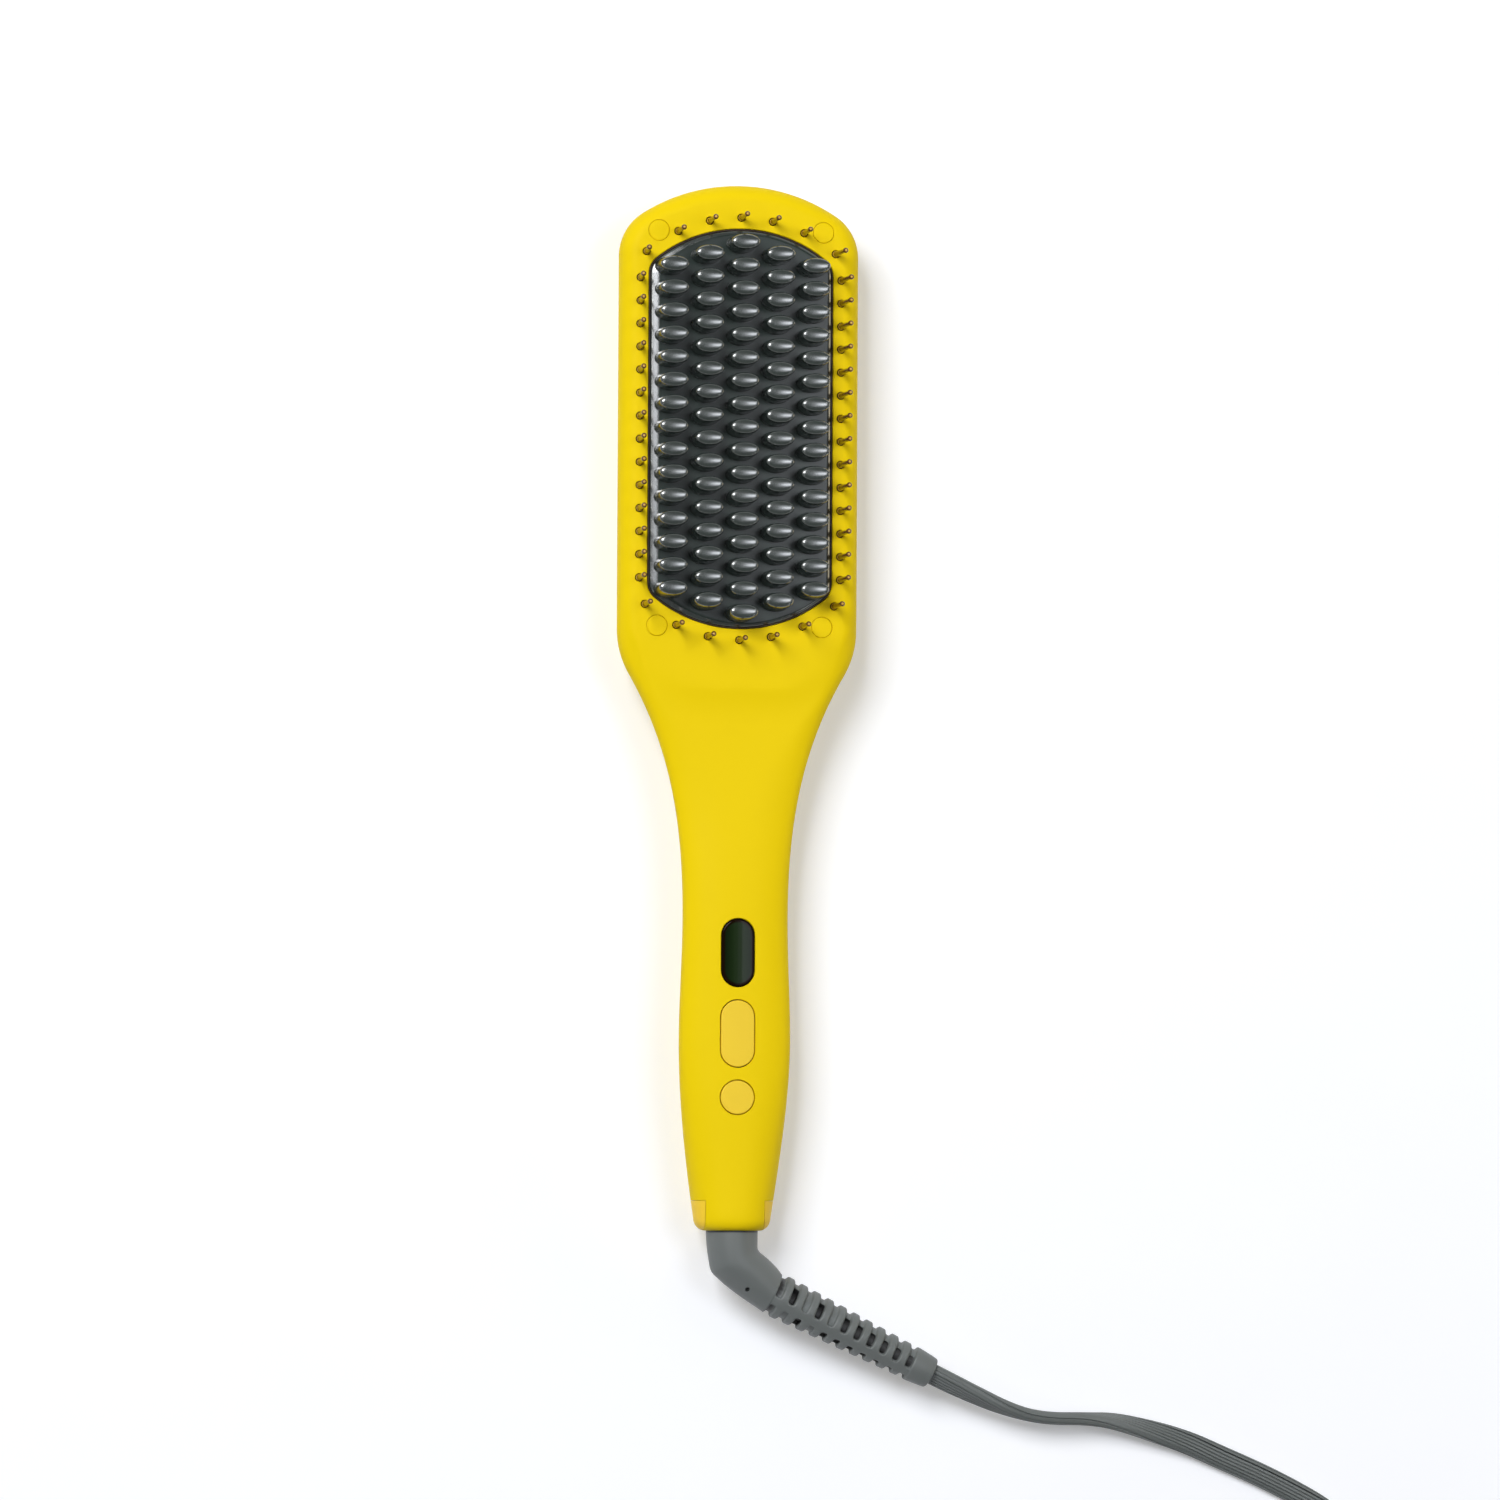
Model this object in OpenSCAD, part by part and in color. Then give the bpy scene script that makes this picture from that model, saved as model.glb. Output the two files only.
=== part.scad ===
// Heated straightening brush with a swivel cord, lying on its back with the teeth up.
// Millimetres. +Y runs to the top of the head, +X to the right, +Z up from the table.
// The origin is on the table under the middle of the brush, its cord left out.

/* [Head] */
// Width of the head
head_w = 66.8; // [63:0.2:72]
// Length from the top of the head to where the shoulders begin
head_l = 123.3; // [121:0.1:132]
// Radius of the arc across the top of the head
head_top_r = 49.6; // [46:0.2:58]
// Radius of the two corners beside that arc
head_corner_r = 14; // [10:0.5:17]
// Height of the head's flat face above the table
face_z = 24; // [23:0.25:27]
// Width of the rounded rim of the face
face_rim = 5; // [4:0.25:5.5]
// Width of the rounded rim of the head's back
back_rim = 16; // [12:0.5:18]
// Drop from the face to the neck at the face's lower edge
face_drop = 1.2; // [0.6:0.1:2]
// Length over which the face drops
face_drop_l = 9; // [6:0.5:12]
// Wall of both shells
wall = 2; // [1.8:0.1:2.3]
// Height of the parting line in the head and the grip
part_z = 18.7; // [17.5:0.1:19.5]

/* [Neck and grip] */
// Radius of the shoulders
shoulder_r = 25; // [18:1:30]
// Turn of each shoulder, in degrees
shoulder_turn = 30; // [26:1:33]
// Length from the start of the shoulders to the waist
neck_l = 80.3; // [74:0.1:90]
// Width of the waist
neck_w = 29.2; // [28:0.2:31]
// Height of the neck's back above the table
neck_back_z = 3.5; // [1:0.25:5]
// Length from the waist to the widest place of the grip
grip_l = 33.5; // [30:0.1:40]
// Width of the grip at its widest
grip_w = 30.9; // [30:0.2:33]
// Height of the grip's front above the table
grip_z = 25; // [24.5:0.25:26]
// Length from the widest place of the grip to the rounding of the tail
taper_l = 48.95; // [46:0.1:56]
// Width of the tail above its rounding
tail_w = 21.5; // [20.8:0.1:23]
// Height of the tail's front above the table
tail_front_z = 24.5; // [24.4:0.1:25]
// Height of the tail's back above the table
tail_back_z = 3.5; // [2.5:0.25:3.75]
// Length of the rounding at the tail's end
tail_round = 3.55; // [3:0.1:4.5]

/* [Heat plate] */
// Width of the yellow face beside the heat plate
plate_side = 8.35; // [8.1:0.05:9.2]
// Length of the heat plate
plate_l = 109.6; // [108:0.2:111]
// Radius of the arcs at the plate's ends
plate_end_r = 37; // [34:0.5:42]
// Radius of the plate's corners
plate_corner_r = 5; // [3:0.5:7]
// Distance from the top of the head to the top of the plate
plate_from_top = 13.1; // [12.6:0.1:15]
// Height of the plate above the face
plate_proud = 0.3; // [0:0.05:0.6]
// Gap all round between the plate and the window in the front shell
window_gap = 0.75; // [0.6:0.05:0.9]
// Teeth in the middle column; each column further out has one fewer
tooth_rows = 17; // [13:2:17]
// Distance between teeth along a column
tooth_row_pitch = 6.4; // [6:0.05:6.45]
// Distance of the outer teeth from the plate's sides
tooth_margin = 0.9; // [0.8:0.05:2]
// Length of a tooth across the plate
tooth_l = 8.9; // [8:0.1:9.1]
// Width of a tooth along the plate
tooth_w = 5.4; // [4.8:0.1:5.7]
// Height of a tooth
tooth_h = 10; // [7:0.5:11.5]

/* [Cool pins] */
// Height of the pins above the face
pin_h = 13; // [10:0.5:15]
// Distance of the side pins from the head's sides
pin_from_side = 5.35; // [5.25:0.05:5.5]
// Distance of the pins from the plate's ends
pin_end_gap = 3.8; // [3.6:0.1:4]
// Distance of the outermost end pins inwards from the side pins
pin_corner_in = 1.65; // [1.5:0.05:3]
// Radius of a pin where it leaves the face
pin_base_r = 1; // [0.9:0.05:1.1]
// Radius of the ball on its tip
pin_ball_r = 0.75; // [0.6:0.05:0.9]
// Gap between a pin and its hole
pin_gap = 0.15; // [0.1:0.01:0.2]

/* [Head screws] */
// Radius of the screw covers
cover_r = 2.85; // [2.75:0.05:2.95]
// Distance of the covers inwards from the plate's sides
cover_inset = 2.05; // [1.8:0.05:2.4]
// Gap round a cover
cover_gap = 0.1; // [0.05:0.05:0.15]

/* [Display and buttons] */
// Distance between the rocker and the display lens
display_gap = 3.65; // [3.2:0.05:6]
// Length of the display lens
display_l = 18.9; // [17:0.1:19.4]
// Distance between the power button and the rocker
power_gap = 3.75; // [3.4:0.05:4.2]
// Length of the rocker
rocker_l = 18.4; // [17:0.1:18.8]
// Distance from the tail's end to the middle of the power button
power_s = 36.7; // [36.2:0.1:37.2]
// Width of the lens and of both buttons
button_w = 9.3; // [8.8:0.1:9.6]
// Gap round each button
button_gap = 0.27; // [0.25:0.01:0.35]
// Tilt of the rocker each way, in degrees
rocker_tilt = 2.5; // [1:0.25:2.5]
// Travel of the power button
power_travel = 0.4; // [0.2:0.05:0.5]

/* [Electronics] */
// Depth of the control board's underside below the grip's front
board_under = 11.1; // [10.9:0.1:11.5]
// Thickness of the board
board_t = 1.6; // [1.2:0.1:1.8]
// Width of the board
board_w = 21; // [19.5:0.1:21.4]
// Distance from the middle of the power button to the board's lower end
board_below = 4.9; // [4.7:0.1:5.3]
// Length of the board
board_l = 80; // [78:0.5:84]
// Height of the three switch bodies
switch_h = 3.5; // [3.3:0.1:3.6]
// Width of a switch body
switch_w = 6; // [5:0.5:6.2]
// Radius of a switch plunger
plunger_r = 1.7; // [1.5:0.05:1.8]
// Gap between each end of the heater element and the boss for its clamp
heater_end_gap = 0.5; // [0.4:0.1:15]
// Width of the heater element
heater_w = 14; // [10:0.5:15]
// Thickness of the heater element
heater_t = 1.6; // [1:0.1:2]

/* [Swivel] */
// Height of the swivel's axis above the table
swivel_z = 14.5; // [14.3:0.1:14.7]
// Radius of the round gland that turns in the tail
gland_r = 7.2; // [7:0.05:7.25]
// Radius of the stem that turns in the socket
stem_r = 5; // [4.8:0.1:5.2]
// Running gap between the stem and the socket
run_gap = 0.08; // [0.05:0.01:0.1]
// Length of the gland from the tail's end to the middle of its bend
gland_l = 9.7; // [9:0.1:12]
// Angle of the outlet away from straight back, in degrees
elbow_turn = 57; // [45:1:65]
// Length of the outlet from the middle of the bend
outlet_l = 13.6; // [13:0.1:16]
// Radius of the outlet's end
outlet_r = 6.25; // [6:0.05:6.5]
// Turn of the swivel about its axis as the brush lies, in degrees
droop = 4; // [3:0.1:5]

/* [Strain relief] */
// Length of the strain relief
boot_l = 50.3; // [48:0.1:53]
// Angle of the strain relief away from straight back, in degrees
boot_turn = 64; // [58:0.5:66]
// Radius of its thin end above the end collar
boot_end_r = 4.8; // [4.6:0.1:5]
// Length of the end collar
boot_collar_l = 6.6; // [5:0.1:8]
// Slots on each side
boot_slots = 11; // [6:1:11]
// Distance between slots
slot_pitch = 4.16; // [4:0.01:4.18]
// Width of a slot
slot_w = 1.8; // [1.4:0.1:2]

/* [Cord] */
// Width of the flat cord
cord_w = 6.6; // [6:0.1:6.8]
// Thickness of the flat cord
cord_t = 3.6; // [3:0.1:3.7]
// Radius of the coil's outer turn, at the middle of the cord
coil_r = 49.6; // [46:0.1:50]
// Distance between turns beside each other
coil_pitch = 4.15; // [4.1:0.01:4.25]
// Whole turns of the coil, to which a quarter turn is added
coil_turns = 10; // [6:1:10]
// Width of the plug's grip
plug_w = 25; // [22:0.5:28]
// Height of the plug's grip
plug_h = 17; // [15:0.5:18]
// Length of the plug's blades
blade_l = 17.5; // [15.9:0.1:18.3]

/* [Hidden] */
$fn = 48;

shell_yellow = "#F2D210";
button_yellow = "#F4D24A";
plate_slate = "#3A4446";
seal_brown = "#2E2114";
pin_amber = "#8A5A1C";
cord_grey = "#6B7070";
board_green = "#1E5B38";
part_black = "#26282A";
brass_gold = "#C9A24B";
steel_grey = "#A9ADB0";
wire_red = "#A63A2E";
wire_white = "#DAD7CE";

// Gap between pieces that are stacked or seated on each other
seat_gap = 0.05;

// Places along Y
body_l = head_l + neck_l + grip_l + taper_l + tail_round;
y_top = body_l / 2;
y_tail = -body_l / 2;
y_taper = y_tail + tail_round;
y_grip = y_taper + taper_l;
y_neck = y_grip + grip_l;
y_head = y_neck + neck_l;
y_shoulder = y_head - shoulder_r * sin(shoulder_turn);
y_crease = y_shoulder - 4.4;
y_drop = y_crease - face_drop_l;
y_fan = y_top - head_w / 2;
plate_y = y_top - plate_from_top - plate_l / 2;
plate_w = head_w - 2 * plate_side;
pin_side_gap = plate_side - pin_from_side;
pin_end_pitch = (plate_w / 2 + pin_side_gap - pin_corner_in) / 3;
tooth_col_pitch = (plate_w - tooth_l - 2 * tooth_margin) / 4;
power_y = y_tail + power_s;
rocker_y = power_y + button_w / 2 + power_gap + rocker_l / 2;
display_y = rocker_y + rocker_l / 2 + display_gap + display_l / 2;
board_s = power_s - board_below;
board_z = grip_z - board_under;

// The head's top: an arc across it and a corner on each side
arc_y = y_top - head_top_r;
corner_x = head_w / 2 - head_corner_r;
corner_dy = sqrt(pow(head_top_r - head_corner_r, 2) - pow(corner_x, 2));
corner_y = arc_y + corner_dy;
corner_turn = atan2(corner_dy, corner_x);
shoulder_x = head_w / 2 - shoulder_r * (1 - cos(shoulder_turn));

// Radius of the body where its rounded tail ends
lip_r = gland_r + 0.3;
// Slope of the grip's sides where they reach the tail
tail_slope = 0.148;

function lerp(a, b, t) = a + (b - a) * t;
function ease(t) = t <= 0 ? 0 : t >= 1 ? 1 : t * t * (3 - 2 * t);
function hermite(a, b, slope_a, slope_b, t) =
    (2 * t * t * t - 3 * t * t + 1) * a + (t * t * t - 2 * t * t + t) * slope_a
    + (3 * t * t - 2 * t * t * t) * b + (t * t * t - t * t) * slope_b;
function unit(v) = v / norm(v);
function path_length(p, i = 1) = i >= len(p) ? 0 : norm(p[i] - p[i - 1]) + path_length(p, i + 1);

// Half width of the body between the tail's rounding and the shoulders
function grip_x(y) =
    y < y_grip ? hermite(tail_w / 2, grip_w / 2, tail_slope * taper_l, 0, (y - y_taper) / taper_l)
    : y < y_neck ? lerp(grip_w / 2, neck_w / 2, ease((y - y_grip) / grip_l))
    : let (run = y_shoulder - y_neck)
      hermite(neck_w / 2, shoulder_x, 0, tan(shoulder_turn) * run, (y - y_neck) / run);

// Heights of the parting line, the front and the back, along the middle of the body
function part_h(y) = lerp(part_z, swivel_z, ease((y_grip - y) / taper_l));
grip_flat_top = y_neck - 4;
grip_flat_end = power_y + 4;
neck_front_z = face_z - face_drop;
function front_h(y) =
    y >= y_crease ? face_z
    : y >= y_drop ? face_z - face_drop * (1 - pow(1 - (y_crease - y) / face_drop_l, 2))
    : y >= grip_flat_end
      ? lerp(neck_front_z, grip_z, ease((y_drop - y) / (y_drop - grip_flat_top)))
      : lerp(grip_z, tail_front_z, ease((grip_flat_end - y) / (grip_flat_end - y_taper)));
neck_low_y = y_shoulder - 30;
function back_h(y) =
    y >= neck_low_y ? lerp(neck_back_z, 0, ease((y - neck_low_y) / (y_head + 20 - neck_low_y)))
    : y >= y_grip ? lerp(0, neck_back_z, ease((y - y_grip) / (neck_low_y - y_grip)))
    : lerp(0, tail_back_z, ease((y_grip - y) / taper_l));

// How far the tail's rounding is open: 0 at its end, 1 above it
function tail_open(y) =
    y >= y_taper ? 1 : sqrt(max(0, 1 - pow(1 - (y - y_tail) / tail_round, 2)));

// Depth of a half of the body at the middle: side 1 is the front, -1 the back
function depth(y, side) =
    lerp(lip_r, side > 0 ? front_h(y) - part_h(y) : part_h(y) - back_h(y), tail_open(y));

// Width of the rounded rim, which widens to the whole half width along the neck
rim_blend_l = 45;
function rim(y, reach, side) =
    lerp(side > 0 ? face_rim : back_rim, reach, ease((y_crease - y) / rim_blend_l));

// The outline's right side, from the tail's end to the top of the head
neck_ys = concat(
    [for (i = [0:5]) lerp(y_neck, y_drop, i / 6)],
    [for (i = [0:2]) lerp(y_drop, y_crease, i / 3)],
    [y_crease]
);
right_side = concat(
    [for (i = [0:3]) let (a = 90 * i / 4)
        [lerp(lip_r, tail_w / 2, sin(a)), y_tail + tail_round * (1 - cos(a))]],
    [for (i = [0:6]) let (y = lerp(y_taper, y_grip, i / 7)) [grip_x(y), y]],
    [for (i = [0:4]) let (y = lerp(y_grip, y_neck, i / 5)) [grip_x(y), y]],
    [for (y = neck_ys) [grip_x(y), y]],
    [for (i = [0:3]) let (a = shoulder_turn * (1 - i / 4))
        [head_w / 2 - shoulder_r * (1 - cos(a)), y_head - shoulder_r * sin(a)]],
    [for (i = [0:2]) [head_w / 2, lerp(y_head, y_fan, i / 2)]],
    [for (i = [0:4]) let (a = corner_turn * i / 5)
        [corner_x + head_corner_r * cos(a), corner_y + head_corner_r * sin(a)]],
    [for (i = [0:5]) let (a = lerp(corner_turn, 90, i / 5))
        [head_top_r * cos(a), arc_y + head_top_r * sin(a)]]
);
tip = len(right_side) - 1;
outline = concat(right_side, [for (i = [tip - 1:-1:0]) [-right_side[i].x, right_side[i].y]]);
last_row = len(outline) - 1;

// Rows run from the outline to the spine. Above y_fan they fan out from one point.
fan = [for (i = [0:tip]) if (right_side[i].y >= y_fan) i][0];
function spine_index(k) = min(k, last_row - k, fan);
function outward(k) =
    let (t = outline[min(k + 1, last_row)] - outline[max(k - 1, 0)]) unit([t.y, -t.x]);
function inset_point(k, inset) = outline[k] - outward(k) * inset;
function spine_y(k, inset) = spine_index(k) == fan ? y_fan : inset_point(k, inset).y;

// Steps across the rounded rim, and its largest share of the half width
rim_steps = 6;
rim_share = 0.94;
function row_points(k, side, inset) =
    let (
        p = inset_point(k, inset),
        s = [0, spine_y(k, inset)],
        y = outline[k].y,
        reach = spine_index(k) == fan ? (p - s) * outward(k) : abs(p.x),
        edge = min(rim_share * reach, rim(y, reach, side) - inset),
        high = depth(y, side) - inset * tail_open(y)
    )
    [for (j = [0:rim_steps]) let (a = 90 * j / rim_steps, q = p + (s - p) * edge * (1 - cos(a)) / reach)
        [q.x, q.y, part_h(y) + side * high * sin(a)]];
function spine_point(i, side, inset) =
    let (y = i == fan ? y_fan : outline[i].y)
    [0, spine_y(i, inset), part_h(y) + side * (depth(y, side) - inset * tail_open(y))];

function surface_points(side, inset) = concat(
    [for (k = [0:last_row]) each row_points(k, side, inset)],
    [for (i = [0:fan]) spine_point(i, side, inset)]
);
row_n = rim_steps + 1;
surface_n = row_n * (last_row + 1) + fan + 1;
function at(k, j) = k * row_n + j;
function at_spine(k) = row_n * (last_row + 1) + spine_index(k);

// Two triangles for each quad, or one where two corners are the same point
function split(q) = concat(
    q[0] == q[1] || q[1] == q[2] ? [] : [[q[0], q[1], q[2]]],
    q[2] == q[3] || q[3] == q[0] ? [] : [[q[0], q[2], q[3]]]
);
function flip(faces) = [for (f = faces) [f[0], f[2], f[1]]];
function shift(faces, n) = [for (f = faces) [f[0] + n, f[1] + n, f[2] + n]];
surface_faces = [
    for (k = [0:last_row - 1]) each concat(
        [for (j = [0:rim_steps - 1])
            each split([at(k, j), at(k, j + 1), at(k + 1, j + 1), at(k + 1, j)])],
        split([at(k, rim_steps), at_spine(k), at_spine(k + 1), at(k + 1, rim_steps)])
    )
];

// One shell: its outer skin, its inner skin, the rim between them and the open tail
module shell_half(side) {
    n = surface_n;
    edges = concat(
        [for (k = [0:last_row - 1]) each split([at(k, 0), at(k + 1, 0), at(k + 1, 0) + n, at(k, 0) + n])],
        [for (j = [0:rim_steps]) let (a = at(0, j), b = j == rim_steps ? at_spine(0) : at(0, j + 1))
            each split([b, a, a + n, b + n])],
        [for (j = [0:rim_steps]) let (
                a = at(last_row, j),
                b = j == rim_steps ? at_spine(last_row) : at(last_row, j + 1)
            )
            each split([a, b, b + n, a + n])]
    );
    faces = concat(surface_faces, shift(flip(surface_faces), n), edges);
    polyhedron(
        points = concat(surface_points(side, 0), surface_points(side, wall)),
        faces = side > 0 ? faces : flip(faces),
        convexity = 8
    );
}

// The space that one half of the body fills, set in by a share of its wall
module half_solid(side, inset) {
    n = surface_n;
    middle = [for (i = [0:fan]) let (p = spine_point(i, side, inset)) [p.x, p.y, part_h(p.y)]];
    function at_middle(k) = n + spine_index(k);
    lid = concat(
        [for (k = [0:last_row - 1])
            each split([at(k, 0), at(k + 1, 0), at_middle(k + 1), at_middle(k)])],
        [for (j = [0:rim_steps]) [j == rim_steps ? at_spine(0) : at(0, j + 1), at(0, j), at_middle(0)]],
        [for (j = [0:rim_steps])
            [at(last_row, j), j == rim_steps ? at_spine(0) : at(last_row, j + 1), at_middle(0)]]
    );
    faces = concat(surface_faces, lid);
    polyhedron(
        points = concat(surface_points(side, inset), middle),
        faces = side > 0 ? faces : flip(faces),
        convexity = 4
    );
}

// A closed skin over rings of points. Each ring turns from up to the right, seen along the run.
module skin(rings) {
    m = len(rings[0]);
    last = len(rings) - 1;
    polyhedron(
        points = [for (r = rings) each r],
        faces = concat(
            [for (i = [0:last - 1]) for (j = [0:m - 1])
                let (a = i * m + j, b = i * m + (j + 1) % m) each split([a, a + m, b + m, b])],
            [for (j = [1:m - 2]) [0, j, j + 1]],
            [for (j = [1:m - 2]) [last * m, last * m + j + 1, last * m + j]]
        ),
        convexity = 8
    );
}

// A section set square to a run of points. twist turns it at each point.
function frame_at(p, i, up) =
    let (t = unit(p[min(i + 1, len(p) - 1)] - p[max(i - 1, 0)]), side = unit(cross(t, up)))
    [side, cross(side, t)];
function sweep_rings(p, section, twist = [], up = [0, 0, 1]) = [
    for (i = [0:len(p) - 1]) let (f = frame_at(p, i, up), a = len(twist) ? twist[i] : 0)
        [for (s = section)
            p[i] + f[0] * (s.x * cos(a) + s.y * sin(a)) + f[1] * (s.y * cos(a) - s.x * sin(a))]
];
function round_section(r, n) = [for (i = [0:n - 1]) r * [sin(360 * i / n), cos(360 * i / n)]];
module wire(p, r) skin(sweep_rings(p, round_section(r, 6)));

// A flat bar with round ends, standing along Y
module stadium(w, l) {
    square([w, l - w], center = true);
    for (s = [-1, 1]) translate([0, s * (l - w) / 2]) circle(d = w);
}

// A horizontal rod along Y from y0 to y1
module rod(r, y0, y1) translate([0, y1, 0]) rotate([90, 0, 0]) cylinder(r = r, h = y1 - y0);

// Heat plate outline, grown by g: an arc at each end and four rounded corners
plate_corner_x = plate_w / 2 - plate_corner_r;
plate_arc_y = plate_l / 2 - plate_end_r;
plate_corner_dy = sqrt(pow(plate_end_r - plate_corner_r, 2) - pow(plate_corner_x, 2));
plate_corner_turn = atan2(plate_corner_dy, plate_corner_x);
function plate_quarter(g) = concat(
    [for (i = [0:5]) let (a = plate_corner_turn * i / 6)
        [plate_corner_x, plate_arc_y + plate_corner_dy] + (plate_corner_r + g) * [cos(a), sin(a)]],
    [for (i = [0:8]) let (a = lerp(plate_corner_turn, 90, i / 8))
        [0, plate_arc_y] + (plate_end_r + g) * [cos(a), sin(a)]]
);
module plate_outline(g) {
    q = plate_quarter(g);
    n = len(q) - 1;
    top = concat(q, [for (i = [n - 1:-1:0]) [-q[i].x, q[i].y]]);
    polygon(concat(top, [for (p = top) -p]));
}
module plate_slab(g, z0, z1) translate([0, plate_y, z0]) linear_extrude(z1 - z0) plate_outline(g);

// Heights in the head, down from the face
plate_top_z = face_z + plate_proud;
under_face_z = face_z - wall;
gasket_t = 0.8;
flange_t = 1.2;
flange_top_z = under_face_z - seat_gap - gasket_t - seat_gap;
plate_base_z = flange_top_z - flange_t;
flange_g = 1.2;
plate_bevel = 0.5;

// The oval teeth: [height share, length share, width share] of each ring
tooth_rings = [[-0.03, 1, 1], [0.12, 0.93, 0.86], [0.76, 0.78, 0.6], [1, 0.5, 0.26]];
tooth_sides = 8;
tooth_cols = [-2:2];
function tooth_count(c) = tooth_rows - abs(c);
module tooth() skin([
    for (r = tooth_rings) [for (i = [0:tooth_sides - 1]) let (a = 360 * (i + 0.5) / tooth_sides)
        [tooth_l / 2 * r[1] * sin(a), -tooth_w / 2 * r[2] * cos(a), tooth_h * r[0]]]
]);

boss_r = 3;
boss_y = plate_l / 2 - boss_r - 3.3;
heater_l = 2 * (boss_y - boss_r - heater_end_gap);
clamp_screw_r = 1.25;
module heat_plate() color(plate_slate) difference() {
    union() {
        plate_slab(flange_g, plate_base_z, flange_top_z);
        plate_slab(0, flange_top_z - 0.1, plate_top_z - plate_bevel);
        plate_slab(-plate_bevel, plate_top_z - plate_bevel - 0.1, plate_top_z);
        for (s = [-1, 1]) translate([0, plate_y + s * boss_y, heater_z])
            cylinder(r = boss_r, h = plate_base_z - heater_z + 0.1);
        for (c = tooth_cols, i = [0:tooth_count(c) - 1])
            translate([
                c * tooth_col_pitch,
                plate_y + (i - (tooth_count(c) - 1) / 2) * tooth_row_pitch,
                plate_top_z
            ]) tooth();
    }
    for (s = [-1, 1]) translate([0, plate_y + s * boss_y, heater_z - 0.1])
        cylinder(r = clamp_screw_r + seat_gap, h = clamp_screw_up + 0.3);
}

gasket_lip_in = 0.1;
gasket_lip_out = window_gap - 0.08;
module plate_gasket() color(seal_brown) difference() {
    union() {
        plate_slab(flange_g + 0.1, flange_top_z + seat_gap, under_face_z - seat_gap);
        plate_slab(gasket_lip_out, under_face_z - seat_gap - 0.1, face_z - 0.15);
    }
    plate_slab(gasket_lip_in, flange_top_z, face_z + 1);
}

// Cool pins: along both sides and across both ends, standing on four strips
pin_side_n = tooth_rows - 3;
pin_end_r = plate_end_r + pin_end_gap;
pin_end_cols = [-3:3];
pin_sites = concat(
    [for (s = [-1, 1]) for (i = [0:pin_side_n - 1])
        [s * (plate_w / 2 + pin_side_gap), plate_y + (i - (pin_side_n - 1) / 2) * tooth_row_pitch]],
    [for (s = [-1, 1]) for (i = pin_end_cols) let (x = i * pin_end_pitch)
        [x, plate_y + s * (plate_arc_y + sqrt(pin_end_r * pin_end_r - x * x))]]
);
strip_t = 1.6;
strip_margin = 1.3;
strip_split = 0.4;
strip_end_y = (pin_side_n - 1) / 2 * tooth_row_pitch + 3;
strip_top_z = under_face_z - 0.3;
pin_foot_r = 1.15;
pin_shaft_r = 0.8;
pin_neck_r = 0.5;
pin_foot_proud = 0.15;
module cool_pin() {
    foot_h = face_z + pin_foot_proud - strip_top_z;
    ball_h = face_z + pin_h - pin_ball_r - strip_top_z;
    translate([0, 0, -strip_t]) cylinder(r = pin_foot_r, h = strip_t);
    translate([0, 0, -0.1]) cylinder(r = pin_base_r, h = foot_h + 0.1);
    translate([0, 0, foot_h - 0.1]) cylinder(r1 = pin_shaft_r, r2 = pin_neck_r, h = ball_h - foot_h + 0.1);
    translate([0, 0, ball_h]) sphere(r = pin_ball_r);
}
module cool_pins() color(pin_amber) {
    difference() {
        plate_slab(pin_side_gap + strip_margin, strip_top_z - strip_t, strip_top_z);
        plate_slab(flange_g + 0.5, strip_top_z - strip_t - 1, strip_top_z + 1);
        cover_sites(strip_top_z - strip_t - 1) cylinder(r = well_r + 0.2, h = strip_t + 2);
        for (s = [-1, 1]) translate([-100, plate_y + s * strip_end_y - strip_split / 2, 0])
            cube([200, strip_split, 100]);
    }
    for (p = pin_sites) translate([p.x, p.y, strip_top_z]) cool_pin();
}

// Head screws, from the front, under round covers
cover_x = plate_w / 2 - cover_inset;
cover_end_gap = 6.57;
cover_y = plate_arc_y + sqrt(pow(plate_end_r + cover_end_gap, 2) - cover_x * cover_x);
cover_t = 1.6;
well_r = 3.7;
screw_shank_r = 1.45;
screw_head_r = 2.5;
screw_head_t = 2.2;
screw_hole_r = 1.6;
screw_l = 10;
well_floor_z = part_z - 3.2;
well_end_z = well_floor_z - 1.1;
module cover_sites(z) for (sx = [-1, 1], sy = [-1, 1])
    translate([sx * cover_x, plate_y + sy * cover_y, z]) children();
module screw_covers() color(shell_yellow)
    cover_sites(face_z - cover_t) cylinder(r = cover_r, h = cover_t - 0.05);
module head_screws() color(steel_grey) cover_sites(well_floor_z + seat_gap) difference() {
    union() {
        cylinder(r = screw_head_r, h = screw_head_t);
        translate([0, 0, -screw_l]) cylinder(r = screw_shank_r, h = screw_l + 0.1);
    }
    for (a = [0, 90]) rotate(a)
        translate([-screw_head_r * 0.6, -0.3, screw_head_t - 1]) cube([screw_head_r * 1.2, 0.6, 2]);
}

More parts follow.
